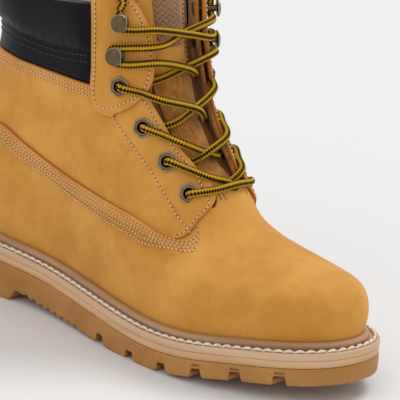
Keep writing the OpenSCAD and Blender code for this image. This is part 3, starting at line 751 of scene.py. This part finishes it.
# ---- the hook stays: nubuck strips sewn over the quarters' upper fronts, which carry the hooks
STAY = [[.652, -.345, -.315], [.662, -.37, -.307], [.68, -.374, -.265], [.70, -.370, -.228],
        [.735, -.362, -.177], [.77, -.352, -.150], [.834, -.338, -.128], [.894, -.325, -.137],
        [.95, -.315, -.160], [.985, -.310, -.190]]
for side, word in SIDES:
    t, v = up(STAY, 1.2, 1.2, 30, 56)
    leather(f"hook_stay_{word}_nubuck", t, v, side, honey, [f"hook_stay_{word}"], .1, thick=1.9,
            rows=(0, 1, 2))

# ---- the facing linings: brown split suede behind the eyelets and hooks, cut a little proud of them
def suede(name, light, dark):
    made, shade, skin = finish(name, Roughness=.95, Sheen_Weight=.35, Sheen_Roughness=.5)
    skin.inputs["Sheen Tint"].default_value = (1, .8, .6, 1)
    fibre, clump = shade.grain(.7, 4, .7), shade.grain(4, 4, .65)
    tone = shade.mixed(clump.between(.3, .7), dark, light)
    tone = shade.mixed(fibre.between(.5, .8) * .4, tone, tuple(c * .45 for c in dark))
    shade.fill(skin, {"Base Color": tone, "Normal": shade.bump(fibre + clump * .8, .3)})
    return made


brown_suede = suede("brown_suede", srgb(188, 126, 52), srgb(148, 92, 34))
FACING = [[.49, -.20, -.13], [.52, -.24, -.088], [.578, -.28, -.117], [.624, -.295, -.152],
          [.67, -.30, -.171], [.71, -.31, -.186], [.77, -.31, -.154], [.834, -.305, -.132],
          [.894, -.30, -.141], [.95, -.295, -.164], [.97, -.29, -.18]]
FACING_PROUD = .006
for side, word in SIDES:
    t, v = up([[a, b, c + FACING_PROUD] for a, b, c in FACING], 1.2, 1.2, 22, 82)
    leather(f"facing_lining_{word}_suede", t, v, side, brown_suede, [f"facing_lining_{word}"],
            -4.0, thick=2.0, roll=.5)

# ---- the collar: two soft black leather halves over foam, sewn to a flat black band along their foot
def black_leather(name, base, sheen, depth):
    made, shade, skin = finish(name, Roughness=.5, Sheen_Weight=sheen, Specular_IOR_Level=.12)
    skin.inputs["Sheen Tint"].default_value = (.8, .8, 1, 1)
    pebble = shade.node("ShaderNodeTexVoronoi", {"feature": "SMOOTH_F1"},
                        {"Vector": shade.place(), "Scale": 1000 / .9, "Smoothness": .6}, "Distance")
    cloud = shade.grain(18, 3)
    tone = shade.mixed(cloud.between(.3, .7), tuple(c * .75 for c in base), base)
    shade.fill(skin, {"Base Color": tone, "Roughness": .36 + .16 * cloud,
                      "Normal": shade.bump(pebble * .6 + shade.grain(7, 4) * 1.5, depth)})
    return made


collar_black = black_leather("collar_leather", srgb(26, 22, 27), .03, .1)
band_black = black_leather("band_leather", srgb(18, 17, 22), 0., .05)


CLOTH_FRAMES = 20


def stuffed(form, kept, pressure, most):
    """Lets a closed leather shape swell over its filling, held along its seams"""
    group = form.vertex_groups.new(name="sewn")
    for weight in np.unique(kept[kept > 0]):
        group.add(np.flatnonzero(kept == weight).tolist(), float(weight), "REPLACE")
    cloth = form.modifiers.new("filling", "CLOTH")
    cloth.settings.quality = 6
    cloth.settings.mass = .25
    cloth.settings.use_pressure = True
    cloth.settings.uniform_pressure_force = pressure
    cloth.settings.tension_stiffness = cloth.settings.compression_stiffness = 12
    cloth.settings.bending_stiffness = .6
    cloth.settings.vertex_group_mass = "sewn"
    cloth.settings.effector_weights.gravity = 0
    cloth.collision_settings.use_collision = False
    cloth.point_cache.frame_start, cloth.point_cache.frame_end = 1, CLOTH_FRAMES
    for frame_number in range(1, CLOTH_FRAMES + 1):
        bpy.context.scene.frame_set(frame_number)
    shaped = form.evaluated_get(bpy.context.evaluated_depsgraph_get())
    soft = np.array([q.co for q in shaped.data.vertices])
    rest = np.array([q.co for q in form.data.vertices])
    move = soft - rest
    far = np.linalg.norm(move, axis=1, keepdims=True)
    move *= np.minimum(1, most / 1000 / np.maximum(far, 1e-9))
    form.modifiers.remove(cloth)
    form.vertex_groups.remove(group)
    form.data.vertices.foreach_set("co", (rest + move * (1 - kept[:, None])).ravel())
    form.data.update()
    bpy.context.scene.frame_set(1)


COLLAR_LOW = [[0, .86], [.308, .856], [.387, .836], [.505, .820], [.66, .822]]
COLLAR_SWELL = [[0, 0], [.12, 1.3], [.32, 2.5], [.55, 2.7], [.77, 2.2], [.96, 1.0], [1, .6]]
COLLAR_BACK, COLLAR_REACH, COLLAR_TOP = .05, .956, .96
for side, word in SIDES:
    s, r = spaced(150, 2)[:, None], spaced(34, 1.2)[None]
    # Its front end follows the hook stay's back edge
    u = COLLAR_BACK + (COLLAR_REACH + curve(STAY, .83 + .13 * r, 1)) * s
    low = curve(COLLAR_LOW, u)
    t, v = mirrored(u - 1, side), low + (COLLAR_TOP - low) * r
    gaps = edge_distances(last_point(t, v))
    ends = ease(0, 9, np.minimum(gaps[0], gaps[1]))
    swell = curve(COLLAR_SWELL, r + 0 * s) * ends
    puckers = np.sin(gaps[0] * 1.15 + 1.5 * np.sin(gaps[0] * .31))
    pleat = .22 * puckers * (1 - ease(1.5, 7, gaps[2])) * ease(0, 1.5, gaps[2])
    outer = off_last(t, v, .1 + swell + pleat - rolled(np.minimum.reduce(gaps), .5))
    inner = off_last(t, v, -3.9 * ends * ease(0, 6, gaps[2]) - .6)
    points, faces = slab(outer, inner)
    # The outer pad also stands for the foam, which is one piece right round the heel
    pad = piece(f"collar_pad_{word}", points, faces, collar_black,
                [f"collar_cover_{word}"] + ["collar_foam"] * (side < 0))
    nearest = np.minimum.reduce(gaps).ravel()
    hold = np.where(nearest < 1.2, 1., np.where(nearest < 3, .5, 0.))
    stuffed(pad, np.concatenate([hold, np.ones_like(hold)]), 3.5, 1.1)
band_t = np.linspace(.335, 1.665, 201)
band_rows = np.column_stack([band_t, curve(QUARTER_TOP, abs(1 - band_t)) - .03,
                             curve(COLLAR_LOW, abs(1 - band_t)) + .012])


def band_lift(t, v, gaps):
    above_quarter = v - curve(QUARTER_TOP, abs(1 - t))
    return 1.9 * ease(-.004, .012, above_quarter)


t, v = across(band_rows, 2, 1.1, 330, 21)
leather("collar_band_leather", t, v, -1, band_black, ["collar_band"], -3.6, thick=1.5,
        roll=.4, lift=band_lift)

# ---- the shaft and vamp linings: woven textile, inside everything
def woven(name, light, dark, size):
    made, shade, skin = finish(name, Roughness=.92, Sheen_Weight=.2)
    warp, weft = (shade.node("ShaderNodeTexWave", {"bands_direction": way}, {
        "Vector": shade.place(), "Scale": 1000 / size / 6.28, "Distortion": 1.2, "Detail": 1.0}, "Fac")
        for way in "XZ")
    knot = warp * weft
    tone = shade.mixed(knot, dark, light)
    tone = shade.mixed(shade.grain(12, 3) * .3, tone, dark)
    shade.fill(skin, {"Base Color": tone, "Normal": shade.bump(knot, .25)})
    return made


lining_cloth = woven("lining_cloth", srgb(196, 180, 150), srgb(150, 132, 102), .9)
t, v = up([[.02, .305, 1.695], [.35, .305, 1.695], [.962, .30, 1.70]], 3, 3, 420, 145)
leather("shaft_lining_cloth", t, v, -1, lining_cloth, ["shaft_lining", "shaft_padding"],
        -5.9, thick=1.1, roll=.4)
TOE_LINING = [[-.295, .01, .34], [-.2, .01, .42], [0, .01, .485], [.2, .01, .42], [.295, .01, .34]]
t, v = across(TOE_LINING, 3, 3, 210, 75)
leather("vamp_lining_cloth", t, v, -1, lining_cloth, ["vamp_lining"], -6.2, thick=1.1,
        roll=.4)

# ---- the footbed: a loose cushioned insole with a knitted top
FOOT_AROUND = 180
foot_turns = np.linspace(-1, 1, FOOT_AROUND, endpoint=False)
foot_ring = off_last(foot_turns, .01 + 0 * foot_turns, -9 + 0 * foot_turns)[:, :2]
foot_middle = np.array([0., -2.])
tops, lows = [], []
for share in (1, .985, .95, .88, .76, .6, .42, .22, .04):
    outline = foot_middle + (foot_ring - foot_middle) * share
    rise = curve(WELT_TOP, outline[:, 0])
    cup = 1.6 * ease(.7, 1, share) * ease(20, -80, outline[:, 0])
    rounding = 1.2 if share == 1 else .25 if share > .98 else 0
    tops.append(np.column_stack([outline, rise + 6.7 + cup - rounding]))
    lows.append(np.column_stack([outline, rise + 2.25]))
rings = np.vstack([np.stack(tops[::-1]), np.stack(lows)])
footbed = piece("footbed_cushion", rings.reshape(-1, 3), ring_faces(len(rings), FOOT_AROUND, capped=True),
                woven("footbed_knit", srgb(70, 68, 72), srgb(38, 37, 42), 1.1),
                ["footbed"], body="footbed")

# ---- the tongue: a nubuck face over a pad of brown suede filled with foam, with a debossed patch, and a
# strip of suede at its root that joins it to the vamp
TONGUE_OFF = -10.8
TONGUE = [[.515, -.07, .07], [.56, -.10, .10], [.65, -.14, .14], [.78, -.17, .17], [.95, -.17, .17],
          [1.04, -.165, .165], [1.06, -.13, .13]]
tongue_honey = nubuck("tongue_nubuck")
t, v = up(TONGUE, 1.3, 1.3, 50, 98)
leather("tongue_face_nubuck", t, v, -1, tongue_honey, ["tongue_face"], TONGUE_OFF - 1.6,
        thick=1.6, rows=(0, 1), body="tongue",
        belly=lambda t, v, gaps: .7 * ease(0, 14, np.minimum(gaps[0], gaps[1])))
t, v = up([[r[0] + .004 * (r[0] > 1.05), r[1] * 1.02, r[2] * 1.02] for r in TONGUE], 1.8, 1.8, 50, 98)
gaps = edge_distances(last_point(t, v))
nearest = np.minimum.reduce(gaps)
top_side = off_last(t, v, TONGUE_OFF - 1.75 - rolled(nearest, 3.4))
low_side = off_last(t, v, TONGUE_OFF - 7.2 - 1.2 * ease(0, 16, nearest) + rolled(nearest, 2.4)
                    - .35 * np.cos(v * 130) * ease(4, 12, nearest))
points, faces = slab(top_side, low_side)
tongue_pad = piece("tongue_pad", points, faces, brown_suede, ["tongue_foam", "tongue_lining"],
                   "tongue")
hold = np.concatenate([np.ones(t.size), np.where(nearest.ravel() < 2, 1., 0.)])
stuffed(tongue_pad, hold, 3, .9)
ROOT = [[.485, -.075, .075], [.52, -.088, .088], [.56, -.115, .115], [.65, -.142, .142], [.775, -.165, .165]]
t, v = up(ROOT, 1.3, 1.3, 40, 60)
root = leather("tongue_root_suede", t, v, -1, brown_suede, (), -3.5, thick=1.2, roll=.4, body=None,
               lift=lambda t, v, gaps: -7.1 * ease(.50, .60, v))
in_row(spot(0, .49, -3)).tolist()
in_row(spot(0, .61, -10)).tolist()
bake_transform(root)
patch_suede, shade, skin = finish("patch_suede", Roughness=.9, Sheen_Weight=.3)
run_t, run_v = shade.mark("run"), shade.mark("rise")
zig = shade.sum("PINGPONG", run_t, 3.2)
line = shade.sum("PINGPONG", run_v + zig * .75, 1.5) * (1 / 1.5)
groove = line.between(.45, .8)
tone = shade.mixed(groove, srgb(158, 118, 82), srgb(126, 90, 60))
shade.fill(skin, {"Base Color": shade.mixed(shade.grain(1.2, 4) * .4, tone, srgb(110, 76, 46)),
                  "Normal": shade.bump(groove * -1. + shade.grain(.8, 3) * .5, .35)})
t, v = up([[.84, -.085, .085], [.97, -.085, .085]], .8, .8, 22, 25)
gaps = edge_distances(last_point(t, v))
points, faces = slab(off_last(t, v, TONGUE_OFF + 1.25 - rolled(np.minimum.reduce(gaps), .5)),
                     off_last(t, v, TONGUE_OFF + .3 + 0 * t))
piece("tongue_patch_suede", points, faces, patch_suede, ["tongue_patch"], "tongue",
      marks={"run": np.tile(gaps[0].ravel(), 2), "rise": np.tile(gaps[2].ravel(), 2)})

# ---- the gussets: thin brown suede bellows, folded once, sewn to the tongue's edge and the facing
GUSSET = [[.53, -.15, -.085], [.60, -.215, -.122], [.70, -.245, -.155], [.82, -.265, -.168],
          [.87, -.262, -.172]]
for side, word in SIDES:
    s, r = np.linspace(0, 1, 31)[:, None], np.linspace(0, 1, 61)[None]
    v = GUSSET[0][0] + (GUSSET[-1][0] - GUSSET[0][0]) * r + 0 * s
    first, last_ = curve(GUSSET, v, 1), curve(GUSSET, v, 2)
    t = mirrored(first + (last_ - first) * (s + .10 * np.sin(2 * np.pi * s)), side)
    depth = -5.6 - 6.6 * s - 3.2 * np.sin(np.pi * s) ** 2 - .25 * np.sin(v * 90 + s * 5)
    grid = off_last(t, v, depth)
    faces = sheet_faces(np.arange(t.size).reshape(t.shape))
    gusset = piece(f"gusset_{word}_suede", grid.reshape(-1, 3), faces, brown_suede,
                   [f"gusset_{word}"], body=None)
    cells = np.linalg.norm(np.cross(grid[1:, :-1] - grid[:-1, :-1], grid[:-1, 1:] - grid[:-1, :-1]), axis=-1)
    tall = np.linalg.norm(np.diff(grid[15], axis=0), axis=1).sum()
    round(cells.sum() / tall / 1000, 4)
    round(tall / 1000, 4)
    in_row(grid[2, 30]).tolist()
    in_row(grid[28, 30]).tolist()
    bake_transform(gusset)

# ---- the eyelets and hooks: pressed brass with an antique gunmetal plate, worn bright on its rims.
# Each eyelet's hexagonal head sits on the leather and its barrel is clenched over a washer behind
def antique(name, dark, worn):
    made, shade, skin = finish(name, Metallic=1.0, Roughness=.4)
    cloud, scratch = shade.grain(2.4, 4, .65), shade.grain(.5, 3)
    rim = shade.mark("rim")
    tone = shade.mixed(cloud.between(.35, .7), dark, tuple(c * 1.5 for c in dark))
    tone = shade.mixed((rim + cloud * .5).between(.55, 1.15), tone, worn)
    # painted shade: rings marked below zero, the eyelet's bore wall and the disc that closes it, are painted
    # near black
    tone = shade.mixed((0 - rim).between(.2, .8), tone, srgb(14, 11, 8))
    shade.fill(skin, {"Base Color": tone, "Roughness": .3 + .25 * cloud,
                      "Normal": shade.bump(scratch + cloud, .05)})
    return made


gunmetal = antique("antique_gunmetal", srgb(98, 84, 66), srgb(176, 160, 134))
TURNS = 48


def turned(t, v, side, off, profile, shape):
    """A pressed or turned form on the last, from its foot to its crown. Each row of its profile gives a
    ring's radius, its height, how worn its rim is (below zero: painted near black as the shade in a bore)
    and how far it takes the shape"""
    t = mirrored(t, side)
    centre, normal = spot(t, v, off), outward(np.array(t), np.array(v))
    a = along(np.array(t), np.array(v)) * -side
    u = np.cross(normal, a)
    angle = 2 * np.pi * np.arange(TURNS) / TURNS
    rings, wear_and_bore_shade = [], []
    for radius, height, rim, share in profile:
        reach = radius * shape(angle, share)
        rings.append(centre + (reach * np.cos(angle))[:, None] * a + (reach * np.sin(angle))[:, None] * u
                     + height * normal)
        wear_and_bore_shade.append(np.full(TURNS, rim))
    return np.vstack(rings), ring_faces(len(rings), TURNS, capped=True), np.concatenate(wear_and_bore_shade)


def hexagon(angle, share):
    corner = (angle + np.pi / 6) % (np.pi / 3) - np.pi / 6
    six = np.minimum(1 / np.cos(corner), 1.115)
    return 1 + (six - 1) * share


# The eyelet's last rows, marked -1, line its bore and close it with a flat disc painted near black as the
# bore's shade
EYELET = [(3.55, -4.4, .3, 0), (3.6, -.2, 0, 0), (4.9, .05, 0, 1), (5, .3, .2, 1), (5, .75, .5, 1),
          (4.85, 1.0, .9, 1), (4.5, 1.15, .6, 1), (4.0, 1.2, .1, .7), (3.7, 1.25, .1, .2),
          (3.45, 1.35, .5, 0), (3.2, 1.3, .6, 0), (3.0, 1.1, 0, 0), (2.9, .75, -1, 0), (2.8, .3, -1, 0),
          (.1, .25, -1, 0)]
HOOK = [(.2, .15, 0, 0), (4.0, .15, 0, 0), (4.2, .3, .4, 0), (4.1, .8, .6, 0), (3.6, 1.0, .3, 0),
        (1.9, 1.15, 0, 0), (1.75, 2, 0, 0), (1.75, 6, 0, 0), (2.2, 6.3, 0, 1), (4.5, 6.35, .3, 1),
        (4.85, 6.6, .9, 1), (4.88, 7.0, 1, 1), (4.65, 7.35, .8, 1), (4.3, 7.5, .25, 1), (4.05, 7.5, .1, 1),
        (3.4, 7.85, 0, .6), (2.2, 8.2, 0, .2), (.9, 8.36, 0, 0), (.1, 8.4, 0, 0)]
HOOK_SEAT = 1.95


def bitten(angle, share):
    """The hook's crown is cut flat on the side where the lace goes in"""
    flat = .80 / np.maximum(np.cos(angle), .01)
    return 1 + (np.minimum(1, np.where(np.cos(angle) > 0, flat, 9)) - 1) * share


for side, word in SIDES:
    for k, ((t, v), seat) in enumerate(zip(EYELETS, EYELET_SEAT), 1):
        points, faces, wear_and_bore_shade = turned(t, v, side, seat + (.12 if seat == 0 else .2), EYELET, hexagon)
        piece(f"hex_eyelet_{word}_{k}", points, faces, gunmetal, [f"eyelet_{word}_{k}"],
              marks={"rim": wear_and_bore_shade})
    for k, (t, v) in enumerate(HOOKS, 1):
        points, faces, wear_and_bore_shade = turned(t, v, side, HOOK_SEAT, HOOK, bitten)
        piece(f"lace_hook_{word}_{k}", points, faces, gunmetal, [f"hook_{word}_{k}"],
              marks={"rim": wear_and_bore_shade})

# ---- the lace: one cord, barred across the lowest eyelets, then crossed up the tongue and round the hooks
FACING_EDGE = [-.070, -.088, -.125, -.150]
CROSS_HIGH, CROSS_LOW = -1.6, -6.4
INNER_SUNK = 1.4


def hole_points(side, k):
    t, v = EYELETS[k]
    return [spot(mirrored(t + .009, side), v, LACE_OVER - INNER_SUNK * (side > 0) + EYELET_SEAT[k]),
            spot(mirrored(t, side), v, LACE_UNDER)]


def over_edge(side, k):
    """Up over the facing's edge and along the leather to the hole"""
    t, v = EYELETS[k]
    return [spot(mirrored(FACING_EDGE[k], side), v - .025, 2.6 if side < 0 else 1.5),
            spot(mirrored((FACING_EDGE[k] + t) / 2, side), v - .01, 2.4 if side < 0 else 1.5),
            hole_points(side, k)[0]]


def crossing(side, k):
    high = (side > 0) == (k % 2 == 0)
    v, w = EYELETS[k][1], EYELETS[k + 1][1]
    return [hole_points(side, k)[1], spot(mirrored(FACING_EDGE[k], side), v + .02, LACE_UNDER),
            spot(0, (v + w) / 2, CROSS_HIGH if high else CROSS_LOW),
            *over_edge(-side, k + 1)]


def to_hook(side):
    return [hole_points(side, 3)[1], spot(mirrored(-.15, side), .755, LACE_UNDER),
            spot(0, .782, CROSS_HIGH if side > 0 else CROSS_LOW),
            spot(mirrored(-.125, -side), .80, STAY_CLEAR), *hook_points(-side, 0)]


def between_hooks(side):
    return [spot(mirrored(-.115, side), .845, STAY_CLEAR), spot(0, .868, 2.6 if side > 0 else -2.4),
            spot(mirrored(-.12, -side), .887, STAY_CLEAR), *hook_points(-side, 1)[:4]]


def half_lace(side):
    return [hole_points(side, 0)[0], *crossing(side, 0), *crossing(-side, 1), *crossing(side, 2),
            *to_hook(-side), *between_hooks(side), lace_exit(-side)]


BAR = [spot(mirrored(-.09, -1), .527, 2.8), spot(0, .535, 2.3), spot(mirrored(-.09, 1), .527, 2.4)]
lace_path = smooth_line(np.array(half_lace(-1)[::-1] + BAR + half_lace(1)), .8)
points, faces, marks = cord_mesh(lace_path, LACE_D / 2)
piece("lace_woven", points, faces, lace_weave, ["lace"], marks=marks)

# ---- the upper's stitching: bonded thread, pale with a pink cast, with the shade in its needle holes painted as dark discs
pale_thread = thread_finish("pale_thread", srgb(236, 196, 156), srgb(212, 166, 122))
dark_thread = thread_finish("dark_thread", srgb(52, 50, 56), srgb(36, 34, 40))
# painted shade: each needle hole is a small dark brown disc on the leather, standing in for the shade inside
# the hole
hole_shade, shade, skin = finish("needle_hole_shade", Roughness=1.0)
shade.fill(skin, {"Base Color": shade.mixed(shade.grain(1, 2), srgb(92, 50, 22), srgb(112, 64, 30))})


def beside(t, v, distance):
    """The line that runs a distance to the left of a line on the last, seen from outside"""
    p = last_point(t, v)
    left = np.cross(outward(t, v), unit(np.gradient(p, axis=0))) * distance
    by_t = (last_point(t + STEP, v) - last_point(t - STEP, v)) / (2 * STEP)
    by_v = (last_point(t, v + STEP) - last_point(t, v - STEP)) / (2 * STEP)
    a, b, c = (by_t ** 2).sum(-1), (by_t * by_v).sum(-1), (by_v ** 2).sum(-1)
    f, g = (by_t * left).sum(-1), (by_v * left).sum(-1)
    det = a * c - b * b
    return t + (f * c - g * b) / det, v + (a * g - b * f) / det


HOLE_RADIUS, HOLE_SIDES = .40, 8


def sewn(path_t, path_v, height, side, pitch=2.5, length=1.95, radius=.40):
    """A row of stitches and, between them, dark discs that paint the shade in the needle holes"""
    t = mirrored(np.asarray(path_t), side)
    line_, normals = off_last(t, path_v, height), outward(t, path_v)
    threads = thread_run(line_, normals, pitch, length, radius)
    far = distances(line_)
    count = max(1, int(far[-1] / pitch))
    spots = np.arange(count + 1) * far[-1] / count
    centre = at_distances(spots, far, line_)
    n = unit(at_distances(spots, far, normals))
    run = unit(at_distances(spots, far, np.gradient(line_, axis=0)))
    w = np.cross(n, run)
    angle = 2 * np.pi * np.arange(HOLE_SIDES)[:, None] / HOLE_SIDES
    disc = centre[:, None] + HOLE_RADIUS * (np.cos(angle) * run[:, None] + np.sin(angle) * w[:, None])
    points = np.concatenate([disc - .25 * n[:, None], disc, (centre + .08 * n)[:, None]], axis=1)
    crown = [[HOLE_SIDES + q, HOLE_SIDES + (q + 1) % HOLE_SIDES, 2 * HOLE_SIDES] for q in range(HOLE_SIDES)]
    one = ring_faces(2, HOLE_SIDES) + crown + [list(range(HOLE_SIDES))]
    return threads, (points.reshape(-1, 3), repeated(one, count + 1, 2 * HOLE_SIDES + 1))


def resampled(points, count=160):
    """A smooth line through places (t, v), as that many places"""
    line_ = smooth_line(np.column_stack([points, np.zeros(len(points))]) * 100, .05)
    return line_[np.linspace(0, len(line_) - 1, count).astype(int), :2] / 100


def stitching(name, rows, thread, body="boot", holes=True):
    made = [sewn(*row) for row in rows]
    points, faces = gathered([m[0] for m in made])
    piece(f"{name}_thread", points, faces, thread, body=body)
    if holes:
        points, faces = gathered([m[1] for m in made])
        piece(f"{name}_needle_hole_shade", points, faces, hole_shade, body=body)


ON_LEATHER, ON_STAY = .02, 1.98
# Kinds of row, each as its pitch, the length of its stitches and the thread's radius
SEAM_KIND, TOP_KIND = (2.35, 1.8, .39), (2.35, 1.8, .37)
BAND_KIND, TACK_KIND = (2.8, 1.9, .28), (1.5, 1.2, .3)


def line_row(line_, height, side, *kind):
    """A row of stitches along a line of places (t, v)"""
    return line_[:, 0], line_[:, 1], height + 0 * line_[:, 0], side, *kind


def over_vamp(line_):
    """How far the quarter stands proud along a line of places, where it lies over the vamp"""
    return PLY * (1 - ease(9, 15, (line_[:, 1] - curve(SEAM, 1 + line_[:, 0])) * 150))


def seam_rows(side):
    """The four rows that hold the vamp's top edge and turn up at the quarter's corner"""
    u = np.linspace(.035, .652, 220)
    for row in range(4):
        share = row / 3
        t, v = beside(u - 1, curve(SEAM, u), -(2.3 + 2.15 * row))
        corner = [[.694 - .010 * share, .314 - .042 * share], [.728 - .024 * share, .346 - .062 * share],
                  [.762 - .045 * share, .398 - .086 * share]]
        line_ = resampled(np.vstack([np.column_stack([1 + t, v])[1 + t < .640][::6], corner]), 300)
        height = PLY * (1 - ease(.655, .69, line_[:, 0])) + ON_LEATHER
        yield line_row(line_ - (1, 0), height, side, *SEAM_KIND)


def quarter_edge_rows(side):
    """The line that closes the facing, the lacing edge with the corner, and the top edge's three"""
    facing_line = resampled(FACING_LINE) - (1, 0)
    yield line_row(facing_line, ON_LEATHER + over_vamp(facing_line), side)
    edge_u, low_u = np.linspace(.802, .900, 60), np.linspace(.886, .682, 90)
    front = np.column_stack(beside(edge_u - 1, curve(QUARTER_TOP, edge_u), -SEWN_IN - .1))
    low = np.column_stack(beside((low_u - 1)[::-1], curve(SEAM, low_u)[::-1], SEWN_IN + .1))
    corner_line = resampled(np.vstack([front[:-4], low[::-1][4:]])[::4], 300)
    yield line_row(corner_line, ON_LEATHER + over_vamp(corner_line), side)
    top_u = np.linspace(.06, .633, 200)
    for row in range(3):
        top_line = np.column_stack(beside(top_u - 1, curve(QUARTER_TOP, top_u), -(2.0 + 1.9 * row)))
        yield line_row(top_line, ON_LEATHER, side, *TOP_KIND)


def stay_rows(side):
    """Both edges of the hook stay and its foot"""
    v = np.linspace(.70, .975, 120)
    back = np.column_stack(beside(curve(STAY, v, 1), v, -SEWN_IN))
    front = np.column_stack(beside(curve(STAY, v, 2), v, SEWN_IN))
    foot = resampled(np.vstack([back[:1], STAY_FOOT, front[:1]]))
    return [line_row(line_, ON_STAY, side) for line_ in (back, front, foot)]


def tack_rows(side):
    """A bar tack of five short rows where the quarter's corner meets the vamp"""
    t = np.linspace(-.079, -.062, 12)
    return [(t, v + 0 * t, .04 + 0 * t, side, *TACK_KIND) for v in TACK_V - .02]


FACING_LINE = np.array([[.678, .655], [.70, .613], [.723, .574], [.742, .53], [.748, .47], [.735, .394],
                        [.722, .352]])
STAY_FOOT = [[-.352, .683], [-.335, .672], [-.31, .679], [-.27, .694], [-.235, .711]]
TACK_V = np.array([.530, .535, .540, .545, .550])
band_u = np.linspace(.07, .64, 200)
for side, word in SIDES:
    rows = [*seam_rows(side), *quarter_edge_rows(side), *stay_rows(side), *tack_rows(side)]
    stitching(f"{word}_side_stitch", rows, pale_thread)
    band_lines = [np.column_stack(beside(band_u - 1, curve(COLLAR_LOW, band_u), -down)) for down in (3, 6.5)]
    stitching(f"{word}_band_stitch", [line_row(line_, -.2, side, *BAND_KIND) for line_ in band_lines],
              dark_thread, holes=False)
back_v = np.linspace(.06, .95, 200)
rows = [(np.full(200, edge_t), back_v, 2.02 + backstay_lift(back_v), -1) for edge_t in (.957, 1.043)]
stitching("backstay_stitch", rows, pale_thread)
tongue_v = np.linspace(.60, 1.03, 160)
rows = [(curve(TONGUE, tongue_v, 1) + .016, tongue_v, TONGUE_OFF + .3 + 0 * tongue_v, side)
        for side, word in SIDES]
stitching("tongue_stitch", rows, pale_thread, body="tongue")

# ---- the hidden parts: pressed steel cap and shank, cork filler, board, counter, foam and clenched backs
def hidden(name, light, dark, size, depth, nodes, **constants):
    made, shade, skin = finish(name, **constants)
    grain = shade.grain(size, 4)
    shade.fill(skin, {"Base Color": shade.mixed(grain.between(.35, .65), dark, light),
                      "Normal": shade.bump(grain, depth)})
    for node in nodes:
        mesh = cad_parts[node].data
        mesh.materials.clear()
        mesh.materials.append(made)


hidden("coated_steel", srgb(150, 154, 158), srgb(112, 116, 122), 6, .05, ["steel_toe_cap", "shank"],
       Metallic=1.0, Roughness=.38)
hidden("cork_filler", srgb(178, 136, 92), srgb(120, 84, 52), 2.4, .4, ["bottom_filler"], Roughness=.9)
hidden("cellulose_board", srgb(206, 184, 148), srgb(180, 156, 120), 3, .1, ["insole_board"], Roughness=.85)
hidden("counter_felt", srgb(214, 202, 178), srgb(186, 172, 146), 1.5, .2, ["heel_counter"], Roughness=.95)
hidden("edge_foam", srgb(96, 98, 102), srgb(70, 72, 76), 1.2, .3, ["toe_cap_edge_strip"], Roughness=.95)
hidden("clenched_brass", srgb(150, 134, 100), srgb(104, 90, 66), 2, .05, ["eyelet_washers", "hook_rivets"],
       Metallic=1.0, Roughness=.4)

# ---- the floor and the light: a pale seamless floor, a broad soft light from high above the inner side,
# a weak one from the outer side, and a pale room
floor_mesh = bpy.data.meshes.new("floor")
FLOOR = 8
floor_mesh.from_pydata([(-FLOOR, -FLOOR, 0), (FLOOR, -FLOOR, 0), (FLOOR, FLOOR, 0), (-FLOOR, FLOOR, 0)], [],
                       [(0, 1, 2, 3)])
floor = bpy.data.objects.new("floor", floor_mesh)
bpy.context.collection.objects.link(floor)
paper, shade, skin = finish("pale_paper", Roughness=.95)
skin.inputs["Specular IOR Level"].default_value = 0
shade.fill(skin, {"Base Color": shade.mixed(shade.grain(60, 2), (.80, .80, .80), (.81, .81, .81))})
floor_mesh.materials.append(paper)
room = bpy.data.worlds.new("pale_room")
room.use_nodes = True
room.node_tree.nodes["Background"].inputs["Color"].default_value = (1, 1, 1, 1)
room.node_tree.nodes["Background"].inputs["Strength"].default_value = .71
bpy.context.scene.world = room
bpy.context.scene.view_settings.view_transform = "Standard"


def sun(name, strength, azimuth, elevation, spread):
    light = bpy.data.lights.new(name, "SUN")
    light.energy, light.angle = strength, math.radians(spread)
    form = bpy.data.objects.new(name, light)
    bpy.context.collection.objects.link(form)
    form.rotation_euler = (math.radians(90 - elevation), 0, math.radians(azimuth))


sun("soft_key", 1.15, 172, 58, 26)
sun("fill", .3, 10, 40, 60)
